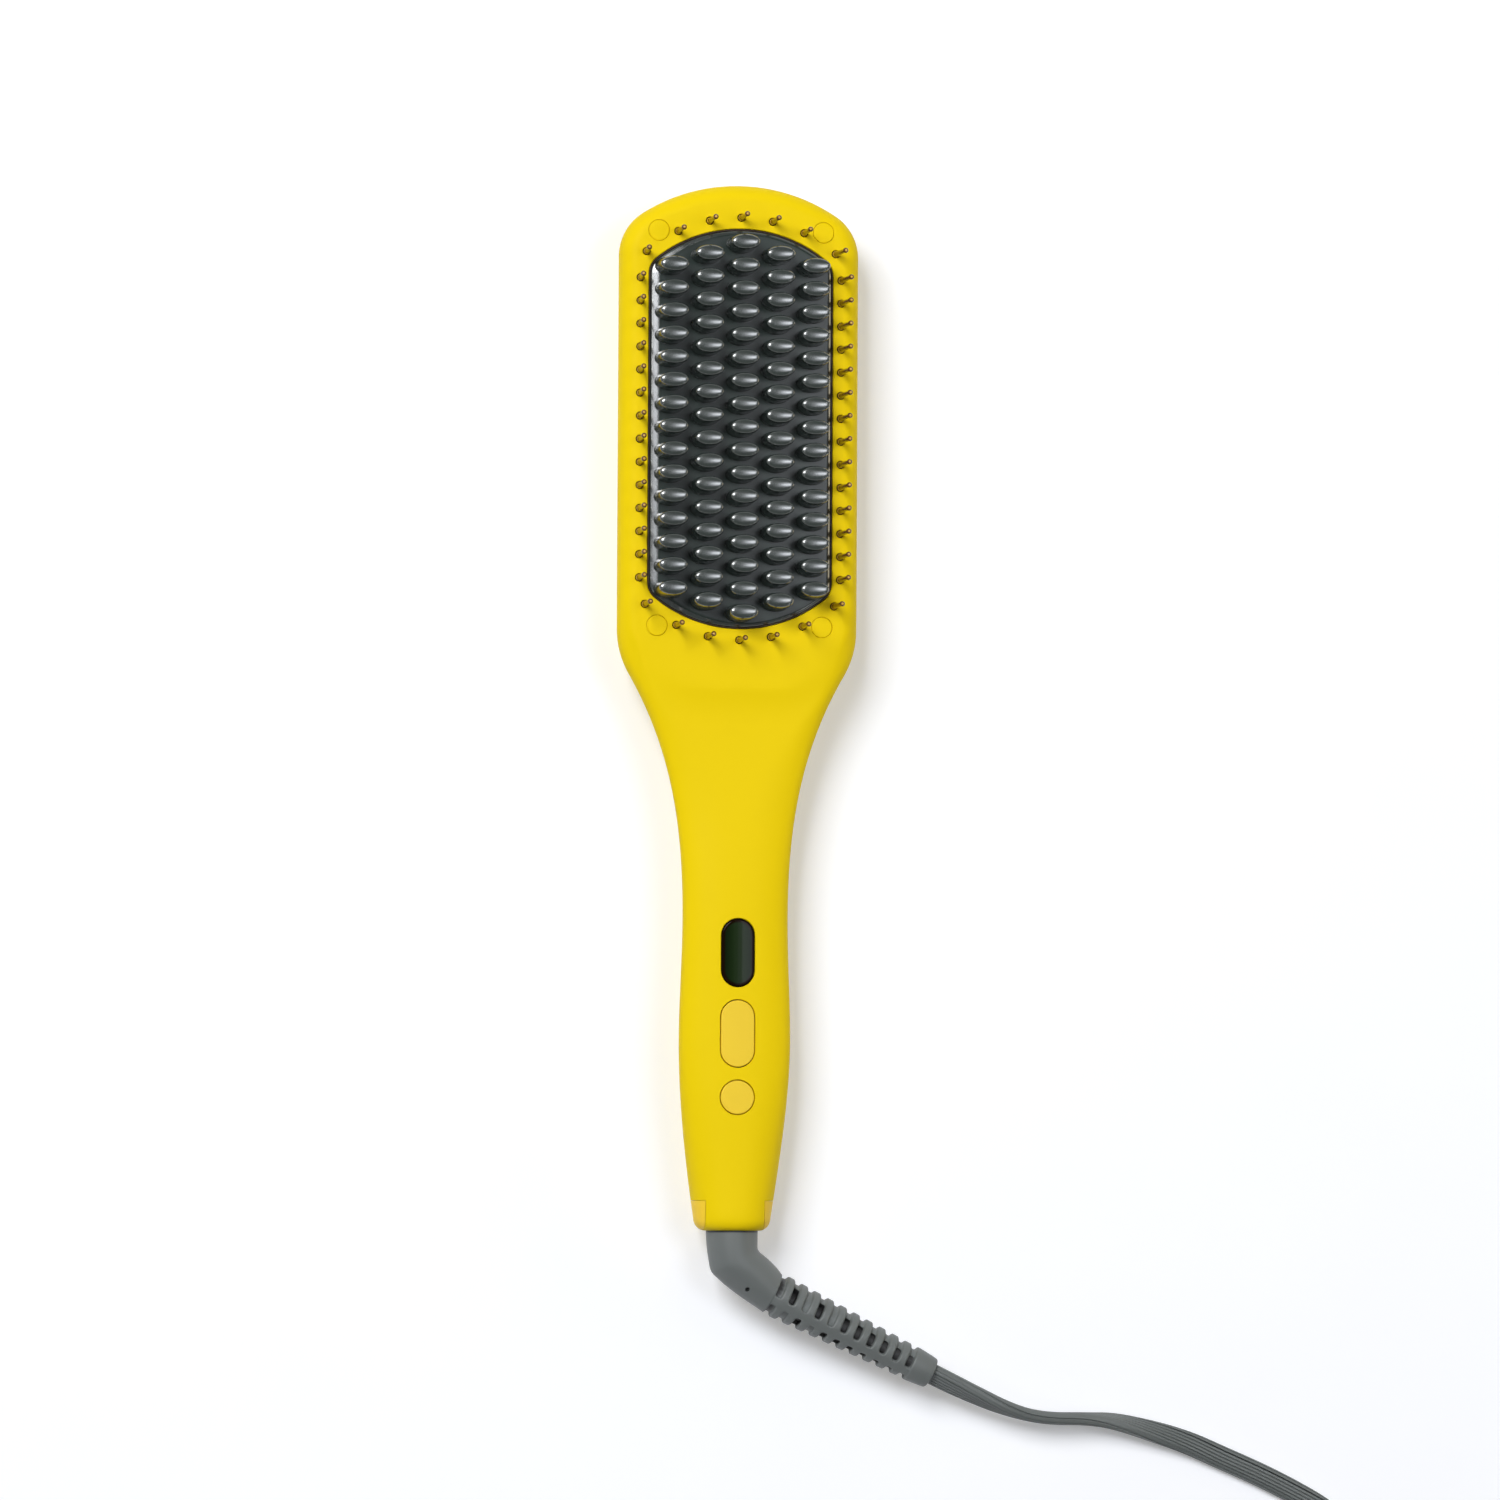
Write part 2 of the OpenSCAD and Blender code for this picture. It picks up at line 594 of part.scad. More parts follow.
// Openings in the grip, and the space that the tail collar's cheeks take
tongue_w = 16.4;
cheek_l = 8.2;
cheek_gap = 0.1;
collar_r = 8.5;
collar_from = 3;
module tail_cuts() {
    for (s = [-1, 1]) translate([s * (tongue_w / 2 + 20), y_tail, swivel_z])
        cube([40, 2 * (cheek_l + cheek_gap), 60], center = true);
    translate([0, y_tail, swivel_z]) {
        rod(gland_r + 0.15, -1, 30);
        rod(collar_r + 0.12, collar_from, cheek_l + 1);
    }
}
module front_shell() color(shell_yellow) difference() {
    union() {
        shell_half(1);
        cover_sites(well_end_z) cylinder(r = well_r, h = part_z + 0.6 - well_end_z);
        intersection() {
            cover_sites(part_z) cylinder(r = well_r, h = face_z - part_z);
            half_solid(1, wall * 0.4);
        }
    }
    plate_slab(window_gap, under_face_z - 1, face_z + 1);
    for (p = pin_sites) translate([p.x, p.y, under_face_z - 1])
        cylinder(r = pin_base_r + pin_gap, h = wall + 2, $fn = 24);
    cover_sites(face_z - cover_t - seat_gap) cylinder(r = cover_r + cover_gap, h = 4);
    cover_sites(well_floor_z) cylinder(r = screw_head_r + 0.15, h = 10);
    cover_sites(well_end_z - 1) cylinder(r = screw_hole_r, h = 10);
    translate([0, display_y, 0]) linear_extrude(40) stadium(button_w + 0.2, display_l + 0.2);
    translate([0, rocker_y, 0]) linear_extrude(40)
        stadium(button_w + 2 * button_gap, rocker_l + 2 * button_gap);
    translate([0, power_y, 0]) cylinder(d = button_w + 2 * button_gap, h = 40);
    translate([0, y_tail, swivel_z]) rod(socket_r + seat_gap, socket_s, socket_s + socket_l);
    tail_cuts();
}

// Rear shell: posts for the plate, the head screws and the board, and the socket's cradle
plate_post_x = 20.5;
plate_post_y = 38;
plate_post_r = 2.5;
screw_post_r = 3.2;
board_post_x = board_w / 2 - 2.7;
board_post_below = 9.5;
board_post_above = 4.2;
board_sites = [
    [board_post_x, rocker_y - y_tail - board_post_below],
    [-board_post_x, display_y - y_tail + board_post_above],
    [board_post_x, board_s + board_l - 8]
];
board_post_r = 2.4;
board_hole_r = 1.3;
socket_r = 7.8;
cradle_w = 12;
block_w = 8;
module rear_shell() color(shell_yellow) difference() {
    union() {
        shell_half(-1);
        intersection() {
            union() {
                for (sx = [-1, 1], sy = [-1, 1])
                    translate([sx * plate_post_x, plate_y + sy * plate_post_y, 0])
                        cylinder(r = plate_post_r, h = part_z - 2);
                cover_sites(0) cylinder(r = screw_post_r, h = well_end_z - seat_gap);
                for (p = board_sites) translate([p.x, y_tail + p.y, 0])
                    cylinder(r = board_post_r, h = board_z - seat_gap);
                translate([-cradle_w / 2, y_tail + socket_s + 1, 0])
                    cube([cradle_w, socket_l - 2, swivel_z - 3]);
                translate([-block_w / 2, y_tail + block_s, 0])
                    cube([block_w, block_l, block_z - seat_gap]);
            }
            half_solid(-1, wall * 0.4);
        }
    }
    cover_sites(well_floor_z - screw_l - 0.2) cylinder(r = screw_shank_r + seat_gap, h = 20);
    cover_sites(well_end_z - seat_gap) cylinder(r = well_r + seat_gap, h = 20);
    for (p = board_sites) translate([p.x, y_tail + p.y, board_z - 7])
        cylinder(r = board_hole_r - 0.1 + seat_gap, h = 8);
    translate([0, y_tail, swivel_z]) rod(socket_r + seat_gap, socket_s, socket_s + socket_l);
    tail_cuts();
}

// Tail collar: a ring round the gland and two cheeks flush with the shells
function tail_ring(y) =
    let (
        h = part_h(y),
        x = y < y_taper ? lerp(lip_r, tail_w / 2, tail_open(y)) : grip_x(y),
        m = 32
    )
    [for (i = [0:m - 1]) let (a = 360 * i / m, s = sin(a), c = cos(a))
        [x * sign(s) * (1 - rim_share * (1 - abs(s))), y, h + depth(y, c >= 0 ? 1 : -1) * c]];
module tail_solid() skin(concat(
    [for (i = [1:3]) tail_ring(y_tail + tail_round * (1 - cos(90 * i / 4)))],
    [for (i = [0:2]) tail_ring(y_taper + (cheek_l - tail_round) * i / 2)]
));
module tail_collar() color(button_yellow) difference() {
    union() {
        intersection() {
            tail_solid();
            for (s = [-1, 1])
                translate([s * (tongue_w / 2 + cheek_gap + 10), y_tail, swivel_z])
                    cube([20, 60, 40], center = true);
        }
        translate([0, y_tail, swivel_z]) rod(collar_r, collar_from + 0.1, cheek_l);
        for (s = [-1, 1]) translate([s * (tongue_w / 2), y_tail + (collar_from + cheek_l) / 2, swivel_z])
            cube([2, cheek_l - collar_from - 1, 5], center = true);
    }
    translate([0, y_tail, swivel_z]) rod(gland_r + 0.15, -1, 30);
}

// Heater stack under the plate
heater_z = plate_base_z - seat_gap - heater_t;
clamp_t = 0.8;
clamp_w = heater_w + 2;
clamp_l = 2 * boss_y + 8;
clamp_z = heater_z - seat_gap - clamp_t;
sheet_t = 0.5;
sheet_w = clamp_w + 4;
sheet_z = clamp_z - seat_gap - sheet_t;
clamp_screw_up = 4;
clamp_head_r = 2.4;
clamp_head_t = 1.4;
module clamp_sites(z) for (s = [-1, 1]) translate([0, plate_y + s * boss_y, z]) children();
module heater_element() color("#E4E0D6")
    translate([-heater_w / 2, plate_y - heater_l / 2, heater_z]) cube([heater_w, heater_l, heater_t]);
module heater_clamp() color(steel_grey) difference() {
    translate([-clamp_w / 2, plate_y - clamp_l / 2, clamp_z]) cube([clamp_w, clamp_l, clamp_t]);
    clamp_sites(clamp_z - 1) cylinder(r = clamp_screw_r + 0.15, h = clamp_t + 2);
    for (s = [-1, 1]) translate([0, plate_y + s * clamp_l / 5, clamp_z - 1])
        linear_extrude(clamp_t + 2) stadium(5, 20);
}
module insulation_sheet() color("#B9A77C") difference() {
    translate([-sheet_w / 2, plate_y - clamp_l / 2, sheet_z]) cube([sheet_w, clamp_l, sheet_t]);
    clamp_sites(sheet_z - 1) cylinder(r = clamp_screw_r + 0.15, h = sheet_t + 2);
}
module clamp_screws() color(steel_grey) clamp_sites(sheet_z - seat_gap - clamp_head_t) {
    cylinder(r = clamp_head_r, h = clamp_head_t);
    cylinder(r = clamp_screw_r, h = heater_z + clamp_screw_up - sheet_z + clamp_head_t);
}

// Sensors against the plate's underside
sensor_x = heater_w / 2 + 6.5;
thermistor_r = 1.3;
fuse_r = 2;
fuse_l = 11;
fuse_y = plate_y - 15;
module thermistor() color(part_black)
    translate([sensor_x, plate_y, plate_base_z - seat_gap - thermistor_r]) rod(thermistor_r, -2, 2);
module thermal_fuse() color(steel_grey)
    translate([-sensor_x, fuse_y, plate_base_z - seat_gap - fuse_r]) {
        rod(fuse_r, -fuse_l / 2, fuse_l / 2);
        rod(0.4, -fuse_l / 2 - 3, fuse_l / 2 + 3);
    }

// Leads through the neck, from the head to the board's upper end
board_top_z = board_z + board_t;
pad_y = y_tail + board_s + board_l - 5;
heater_end_y = plate_y - heater_l / 2;
lead_r = 0.8;
thin_r = 0.45;
lead_drop_y = plate_y - plate_l / 2 - 2.5;
function neck_run(x0, y0, z0, x1, r) = [
    [x0, y0, z0],
    [x0, lead_drop_y, z0],
    [lerp(x0, x1, 0.3), y_shoulder, board_top_z + 1.4],
    [lerp(x0, x1, 0.8), y_shoulder - 20, board_top_z + 1.2],
    [x1, pad_y + 10, board_top_z + 1.2],
    [x1, pad_y + 5, board_top_z + r + seat_gap],
    [x1, pad_y, board_top_z + r + seat_gap]
];
module heater_leads() color(wire_red) for (s = [-1, 1])
    wire(neck_run(
        s * (boss_r + lead_r + 0.4), heater_end_y - seat_gap, heater_z + heater_t / 2, s * 3, lead_r
    ), lead_r);
module fuse_leads() color(wire_white) {
    z = plate_base_z - seat_gap - fuse_r;
    wire(neck_run(-sensor_x, fuse_y - fuse_l / 2 - 3.05, z, -7, lead_r), lead_r);
    wire([
        [-sensor_x, fuse_y + fuse_l / 2 + 3.05, z],
        [-sensor_x, fuse_y + fuse_l / 2 + 8, z],
        [-sensor_x + 1.5, fuse_y + fuse_l / 2 + 13, z + 0.4],
        [-heater_w / 2 - 2.6, fuse_y + fuse_l / 2 + 15, heater_z + heater_t / 2],
        [-heater_w / 2 - 1.4, fuse_y + fuse_l / 2 + 15.2, heater_z + heater_t / 2],
        [-heater_w / 2 - 0.2, fuse_y + fuse_l / 2 + 15.2, heater_z + heater_t / 2]
    ], lead_r);
}
module sensor_leads() color(wire_white) for (s = [-0.6, 0.6])
    wire(neck_run(sensor_x + s, plate_y - 2.05, plate_base_z - 1.4, 7 + s, thin_r), thin_r);

// Control board and what it carries
board_end_r = 4;
module board_holes(r) for (p = board_sites) translate([p.x, y_tail + p.y, board_z - 1])
    cylinder(r = r, h = board_t + 2);
module control_board() color(board_green) difference() {
    translate([0, y_tail + board_s, board_z]) linear_extrude(board_t) {
        translate([-board_w / 2, board_end_r]) square([board_w, board_l - 2 * board_end_r]);
        translate([-board_w / 2 + board_end_r, 0]) square([board_w - 2 * board_end_r, board_l]);
        for (sx = [-1, 1], y = [board_end_r, board_l - board_end_r])
            translate([sx * (board_w / 2 - board_end_r), y]) circle(r = board_end_r);
    }
    board_holes(board_hole_r);
}
board_screw_l = 6;
board_screw_head_r = 2.2;
board_screw_head_t = 1.4;
module board_screws() color(steel_grey) for (p = board_sites)
    translate([p.x, y_tail + p.y, board_top_z + seat_gap]) {
        cylinder(r = board_screw_head_r, h = board_screw_head_t);
        translate([0, 0, -board_screw_l]) cylinder(r = board_hole_r - 0.1, h = board_screw_l + 0.1);
    }
module on_board(x, y, size) translate([x - size.x / 2, y - size.y / 2, board_top_z + seat_gap])
    cube(size);
module under_board(x, y, size)
    translate([x - size.x / 2, y - size.y / 2, board_z - seat_gap - size.z]) cube(size);
module control_chip() color(part_black) under_board(0, y_tail + board_s + 40.5, [7, 7, 1.2]);
// The triac takes the room between the display and the ends of the leads
module_l = 17;
triac_from = display_y + module_l / 2 + 3.2;
triac_to = pad_y - 4.5;
module triac() color(part_black)
    on_board(0, (triac_from + triac_to) / 2, [10, triac_to - triac_from, 4.4]);
module filter_capacitor() color("#C8A63A") under_board(-1, y_tail + board_s + 27, [13, 10, 7.5]);
reservoir_r = 4.6;
module reservoir_capacitor() color("#2B3350")
    translate([0, y_tail + board_s + 52.5, board_z - seat_gap - reservoir_r]) rod(reservoir_r, -7, 7);

// Display and its lens. Lens and buttons follow the crown of the grip.
crown_r = pow(grip_w / 2 - 0.5, 2) / (grip_z - part_z);
module crown(y, l, proud) translate([0, y - l / 2, grip_z + proud - crown_r]) rod(crown_r, 0, l);
lens_flange = 0.9;
lens_flange_z = grip_z - wall - 1.1;
lens_flange_t = 0.6;
module display_lens() color("#16211A") {
    intersection() {
        translate([0, display_y, lens_flange_z]) linear_extrude(10) stadium(button_w, display_l);
        crown(display_y, 40, -0.1);
    }
    translate([0, display_y, lens_flange_z]) linear_extrude(lens_flange_t)
        stadium(button_w + 2 * lens_flange, display_l + 2 * lens_flange);
}
module display_module() color(part_black)
    on_board(0, display_y, [8.6, module_l, lens_flange_z - board_top_z - 2 * seat_gap]);

// Switches under the buttons
switch_arm = 5;
switch_top_z = board_top_z + seat_gap + switch_h;
plunger_top_z = switch_top_z + 1.3;
plunger_rise = 2.6;
switch_ys = [rocker_y + switch_arm, rocker_y - switch_arm, power_y];
module switch_bodies() color(part_black) difference() {
    for (y = switch_ys) on_board(0, y, [switch_w, switch_w, switch_h]);
    for (y = switch_ys) translate([0, y, plunger_top_z - plunger_rise - 0.6])
        cylinder(r = plunger_r + 0.1, h = plunger_rise + 2);
}
module plunger(y) color("#D8D8D2") translate([0, y, plunger_top_z - plunger_rise])
    cylinder(r = plunger_r, h = plunger_rise);
module plunger_up() plunger(switch_ys[0]);
module plunger_down() plunger(switch_ys[1]);
module plunger_power() plunger(switch_ys[2]);

// Button frame: stands on the board, carries the rocker's pivot and guides the power button
frame_t = 0.8;
frame_z = switch_top_z + 0.35;
frame_top_z = frame_z + frame_t;
frame_w = 17.2;
frame_from = power_y - 5.3;
frame_to = display_y + 10.6;
leg_r = 1.1;
pivot_r = 0.8;
pivot_z = frame_top_z + 0.6;
ear_t = 1.4;
ear_h = 1.75;
ear_w = 3.6;
ear_x = button_w / 2 + 0.3;
power_stem_r = 2.6;
module button_frame() color(part_black) difference() {
    union() {
        translate([-frame_w / 2, frame_from, frame_z]) cube([frame_w, frame_to - frame_from, frame_t]);
        for (s = [-1, 1]) {
            for (y = [frame_from + 1.4, rocker_y + 11, frame_to - 1.4])
                translate([s * (frame_w / 2 - 1.4), y, board_top_z + seat_gap])
                    cylinder(r = leg_r, h = frame_z - board_top_z + 0.1);
            translate([s * (ear_x + ear_t / 2) - ear_t / 2, rocker_y - ear_w / 2, frame_z])
                cube([ear_t, ear_w, frame_t + ear_h]);
        }
    }
    translate([0, rocker_y, frame_z - 1]) linear_extrude(frame_t + 2)
        square([button_w + 0.4, 15], center = true);
    translate([0, display_y, frame_z - 1]) linear_extrude(frame_t + 2)
        square([button_w + 0.4, 17.6], center = true);
    translate([0, power_y, frame_z - 1]) cylinder(r = power_stem_r + 0.25, h = frame_t + 2);
    for (s = [-1, 1]) translate([s * 10, rocker_y, pivot_z]) rotate([0, -s * 90, 0])
        cylinder(r = pivot_r + run_gap, h = 10 - button_w / 2);
}

// Rocker: a long cap on a cross pivot, with a nub over each switch
cap_t = 3;
cap_z = grip_z - cap_t;
nub_r = 0.9;
module rocker_button() color(button_yellow) {
    intersection() {
        translate([0, rocker_y, cap_z]) linear_extrude(10) stadium(button_w, rocker_l);
        crown(rocker_y, 40, 0.1);
    }
    translate([-button_w / 2 + 0.3, rocker_y - 1.2, pivot_z - pivot_r])
        cube([button_w - 0.6, 2.4, cap_z - pivot_z + pivot_r + 0.1]);
    for (s = [-1, 1]) {
        translate([s * (ear_x + ear_t), rocker_y, pivot_z]) rotate([0, -s * 90, 0])
            cylinder(r = pivot_r, h = ear_t + 1.2);
        translate([0, rocker_y + s * switch_arm, plunger_top_z + seat_gap])
            cylinder(r = nub_r, h = cap_z - plunger_top_z);
    }
}

// Power button: a round cap with a flange under the shell and a stem to its switch
power_flange_r = button_w / 2 + 0.95;
power_flange_z = grip_z - wall - 1.5;
module power_button() color(button_yellow) {
    intersection() {
        translate([0, power_y, power_flange_z]) cylinder(d = button_w, h = 10);
        crown(power_y, 40, 0);
    }
    translate([0, power_y, power_flange_z]) cylinder(r = power_flange_r, h = 0.8);
    translate([0, power_y, plunger_top_z + seat_gap])
        cylinder(r = power_stem_r, h = power_flange_z - plunger_top_z);
}

// Swivel: what is fixed in the tail
socket_s = 8.4;
socket_l = 7.8;
clip_s = socket_s + socket_l + 0.15;
clip_t = 0.8;
barrel_s = 17.5;
barrel_r = 3.6;
barrel_end_s = 29.4;
ring_r = 4.3;
ring_w = 2.6;
ring_at = [20.2, 26];
block_s = 18.4;
block_l = 9.6;
block_z = 6.4;
block_top_z = swivel_z - 5.5;
spring_t = 0.4;
module swivel_socket() color(part_black) translate([0, y_tail, swivel_z]) difference() {
    rod(socket_r, socket_s, socket_s + socket_l);
    rod(stem_r + run_gap, 0, 30);
}
module contact_block() color(part_black)
    translate([-block_w / 2, y_tail + block_s, block_z]) cube([block_w, block_l, block_top_z - block_z]);
module contact_springs() color(brass_gold) {
    top = swivel_z - ring_r - 0.1;
    for (s = ring_at) {
        translate([-3, y_tail + s - 1, top - spring_t]) cube([6, 2, spring_t]);
        for (sx = [-1, 1]) translate([sx * 2.8 - 0.2, y_tail + s - 1, block_top_z + seat_gap])
            cube([0.4, 2, top - block_top_z - 0.1]);
    }
}
module mains_leads() color(part_black) for (s = [-1, 1])
    wire([
        [s * 2.6, y_tail + block_s + block_l + seat_gap, block_top_z - 1],
        [s * 2.8, y_tail + block_s + block_l + 3, block_top_z - 1],
        [s * 3.4, y_tail + board_s + 3, board_z - lead_r - 1.2],
        [s * 3.4, y_tail + board_s + 7, board_z - lead_r - 0.1],
        [s * 3.4, y_tail + board_s + 10, board_z - lead_r - 0.1]
    ], lead_r);

// Swivel: what turns. Its own frame has the axis on Y and the tail's end at zero.
module swivel_frame() translate([0, y_tail, swivel_z]) rotate([0, droop, 0]) children();
// Runs along the outlet or the strain relief, as a Z axis at the given place
module aim(p, turn) translate(p) rotate([0, 0, turn - 90]) rotate([0, 90, 0]) children();
gland_in = 8.2;
bend_p = [0, -gland_l, 0];
outlet_p = bend_p + outlet_l * [sin(elbow_turn), -cos(elbow_turn), 0];
boot_dir = [sin(boot_turn), -cos(boot_turn), 0];
stem_bore_r = 2.6;
outlet_bore_r = 3.5;
groove_r = 4.2;
module swivel_elbow() color(cord_grey) swivel_frame() difference() {
    union() {
        rod(gland_r, -gland_l, gland_in);
        rod(stem_r, gland_in - 0.1, clip_s + clip_t + 0.1);
        rod(barrel_r, clip_s, barrel_end_s);
        translate(bend_p) sphere(r = gland_r - 0.25);
        aim(bend_p, elbow_turn) cylinder(r1 = gland_r - 0.1, r2 = outlet_r - 0.05, h = outlet_l + 2);
    }
    difference() {
        rod(stem_r + 1, clip_s - seat_gap, clip_s + clip_t + seat_gap);
        rod(groove_r, clip_s - 1, clip_s + clip_t + 1);
    }
    rod(stem_bore_r, -gland_l - 0.8, barrel_end_s - 1.5);
    aim(bend_p, elbow_turn) cylinder(r = outlet_bore_r, h = outlet_l + 5);
    aim(outlet_p, boot_turn) translate([-20, -20, 0]) cube([40, 40, 10]);
    translate(bend_p + [3.5, -6.5, 3]) cylinder(r = 0.6, h = 6);
}
module retaining_clip() color(steel_grey) swivel_frame() difference() {
    rod(6.2, clip_s, clip_s + clip_t);
    rod(groove_r + seat_gap, clip_s - 1, clip_s + clip_t + 1);
    translate([0, clip_s, 5]) cube([6, 4, 10], center = true);
}
module slip_rings() color(brass_gold) swivel_frame() for (s = ring_at) difference() {
    rod(ring_r, s - ring_w / 2, s + ring_w / 2);
    rod(barrel_r + 0.02, s - ring_w, s + ring_w);
}
module swivel_wires() color(wire_white) swivel_frame() for (s = [-1, 1])
    wire([
        [s * 1.1, ring_at[0], 0],
        [s * 1.1, 10, 0],
        [s * 1.1, -gland_l + 3, 0],
        [s * 1.1 + 1.4, -gland_l + 0.4, 0],
        outlet_p - 7 * boot_dir + [s * 0.6, s * 1, 0]
    ], lead_r);

// Strain relief: a tapered boot with rows of slots between two spines and two bridges, which the
// pull of the cord has twisted a little
boot_root_r = outlet_r;
boot_collar_r = boot_end_r + 0.15;
boot_tip_r = 4.35;
boot_bore_r = 3.5;
spine_roll = 21;
spine_twist = 21;
spine_w = 2.6;
bridge_w = 3.9;
slot_from = 1.1;
slot_floor_r = 4.1;
module strain_relief() color(cord_grey) swivel_frame() aim(outlet_p + seat_gap * boot_dir, boot_turn)
    difference() {
        ribbed_l = boot_l - boot_collar_l;
        union() {
            cylinder(r1 = boot_root_r, r2 = boot_end_r, h = ribbed_l);
            translate([0, 0, ribbed_l - 0.1])
                cylinder(r1 = boot_collar_r, r2 = boot_tip_r, h = boot_collar_l + 0.1 - seat_gap);
        }
        translate([0, 0, -1]) cylinder(r = boot_bore_r, h = boot_l + 2);
        for (i = [0:boot_slots - 1], s = slot_from + i * slot_pitch)
            rotate(spine_roll + spine_twist * s / ribbed_l) translate([0, 0, s - slot_w / 2]) difference() {
                cylinder(r = 8, h = slot_w);
                translate([0, 0, -1]) cylinder(r = slot_floor_r, h = slot_w + 2);
                translate([-9, -spine_w / 2, -1]) cube([18, spine_w, slot_w + 2]);
                translate([-bridge_w / 2, -9, -1]) cube([bridge_w, 18, slot_w + 2]);
            }
    }

// Cord: it leaves the strain relief, twists as it crosses the table and joins the coil
boot_end_local = outlet_p + boot_l * boot_dir;
function from_swivel(p) = [
    p.x * cos(droop) + p.z * sin(droop), y_tail + p.y, swivel_z - p.x * sin(droop) + p.z * cos(droop)
];
boot_end = from_swivel(boot_end_local);
boot_end_dir = [boot_dir.x * cos(droop), boot_dir.y, -boot_dir.x * sin(droop)];
exit_twist = 45;
edge_z = cord_w / 2 + 0.7;
coil_c = [145, -281];
// Hand-laid route over the table: [x, y, height of the cord's middle, twist in degrees].
// A twist of 0 or 180 lays the cord flat, 90 stands it on its edge.
lead_route = [
    [70, -190.3, 9.3, 60], [77, -193.2, 8.5, 75], [84, -195.3, 7.6, 88], [91, -196.3, 6.7, 90],
    [101, -196.5, 5.5, 95], [109, -197.2, 4.6, 115], [119, -199.6, 3.6, 140],
    [130, -203, 2.7, 165], [140, -207.2, 2.1, 178], [151, -212, 1.9, 180], [161, -217, 1.9, 178],
    [169.5, -222, 2.1, 165], [177, -228, 2.7, 140], [184, -236, 3.2, 115],
    [190, -246.5, 3.6, 98], [193.4, -259, 3.9, 90]
];
coil_start = [coil_c.x + coil_r, coil_c.y + cord_w, edge_z];
lead_points = concat(
    [boot_end, boot_end + cord_w * boot_end_dir],
    [for (p = lead_route) [p.x, p.y, p.z]],
    [coil_start + [0, cord_w, 0], coil_start]
);
lead_twist = concat([exit_twist, exit_twist], [for (p = lead_route) p[3]], [90, 90]);
flat_section = [
    for (c = [[-0.36, 0.5], [0.36, 0.5], [0.5, 0.22], [0.5, -0.22],
              [0.36, -0.5], [-0.36, -0.5], [-0.5, -0.22], [-0.5, 0.22]])
        [c.x * cord_w, c.y * cord_t]
];
module cord_lead() color(cord_grey) skin(sweep_rings(lead_points, flat_section, lead_twist));
inner_reach = 0.8;
module inner_cord() color(cord_grey) swivel_frame()
    aim(boot_end_local - (boot_l + inner_reach) * boot_dir, boot_turn)
        linear_extrude(boot_l + inner_reach) rotate(exit_twist) stadium(cord_t, cord_w);

// Coil: on its edge, it spirals in, climbs to a second layer and spirals out again
coil_layer = cord_w + 0.5;
coil_sweep = 360 * coil_turns + 90;
coil_turn_back = coil_sweep / 2;
coil_climb = 150;
coil_dip = 2.2;
coil_step = 15;
function coil_radius(a) =
    let (u = abs(a - coil_turn_back))
    coil_r - coil_pitch * (coil_turn_back - u) / 360 - coil_dip * ease(1 - u / 180);
function coil_height(a) = edge_z + coil_layer * ease((a - coil_turn_back) / coil_climb + 0.5);
coil_points = concat(
    [coil_start],
    [for (a = [0:coil_step:coil_sweep])
        [coil_c.x + coil_radius(a) * cos(a), coil_c.y - coil_radius(a) * sin(a), coil_height(a)]],
    [[coil_c.x - cord_w, coil_c.y - coil_r, edge_z + coil_layer]]
);
coil_section = [
    for (c = [[0, 0.5], [0.5, 0.29], [0.5, -0.29], [0, -0.5], [-0.5, -0.29], [-0.5, 0.29]])
        [c.x * cord_t, c.y * cord_w]
];
function coil_side(i) =
    i == 0 || i == 1 ? [-1, 0, 0]
    : i >= len(coil_points) - 2 ? [0, 1, 0]
    : unit([coil_c.x, coil_c.y, 0] - [coil_points[i].x, coil_points[i].y, 0]);
module cord_coil() color(cord_grey) skin([
    for (i = [0:len(coil_points) - 1])
        [for (s = coil_section) coil_points[i] + s.x * coil_side(i) + [0, 0, s.y]]
]);
turn_n = 360 / coil_step;
coil_gaps = [
    for (i = [1:len(coil_points) - 2 - turn_n]) each [
        for (j = [i + turn_n:turn_n:len(coil_points) - 2]) let (
                d = coil_points[j] - coil_points[i],
                beside = norm([d.x, d.y]) * cos(coil_step / 2) - cord_t
            )
            max(beside, abs(d.z) - cord_w)
    ]
];
echo(coil_least_gap = min(coil_gaps), coil_length = path_length(coil_points));
echo(lead_length = path_length(lead_points), tail_length = path_length(tail_points));
echo(boot_end = boot_end, coil_start = coil_start);

// From the coil to the plug, with a quarter twist
plug_entry = [98, coil_c.y - coil_r, plug_h / 2];
coil_end = coil_points[len(coil_points) - 1];
tail_points = [
    coil_end, coil_end - [cord_w, 0, 0],
    [124, coil_end.y, lerp(coil_end.z, plug_entry.z, 0.35)],
    [115, coil_end.y, lerp(coil_end.z, plug_entry.z, 0.8)],
    plug_entry + [cord_w, 0, 0], plug_entry
];
module cord_tail() color(cord_grey)
    skin(sweep_rings(tail_points, flat_section, [90, 90, 115, 150, 180, 180]));

// Tie: a thin strap round all the turns at the coil's left side
tie_w = 8;
tie_t = 0.6;
tie_room = 0.45;
tie_out = coil_radius(180) + cord_t / 2 + tie_room;
tie_in = min(coil_radius(360 * floor(coil_turns / 2) + 180), coil_radius(360 * floor(coil_turns / 2) - 180))
    - cord_t / 2 - tie_room - 0.7;
tie_top = edge_z + coil_layer + cord_w / 2 + 0.1;
module cord_tie() color(part_black) translate([coil_c.x, coil_c.y - tie_w / 2, 0]) difference() {
    translate([-tie_out - tie_t, 0, 0]) cube([tie_out - tie_in + 2 * tie_t, tie_w, tie_top + tie_t]);
    translate([-tie_out, -1, tie_t]) cube([tie_out - tie_in, tie_w + 2, tie_top - tie_t]);
}

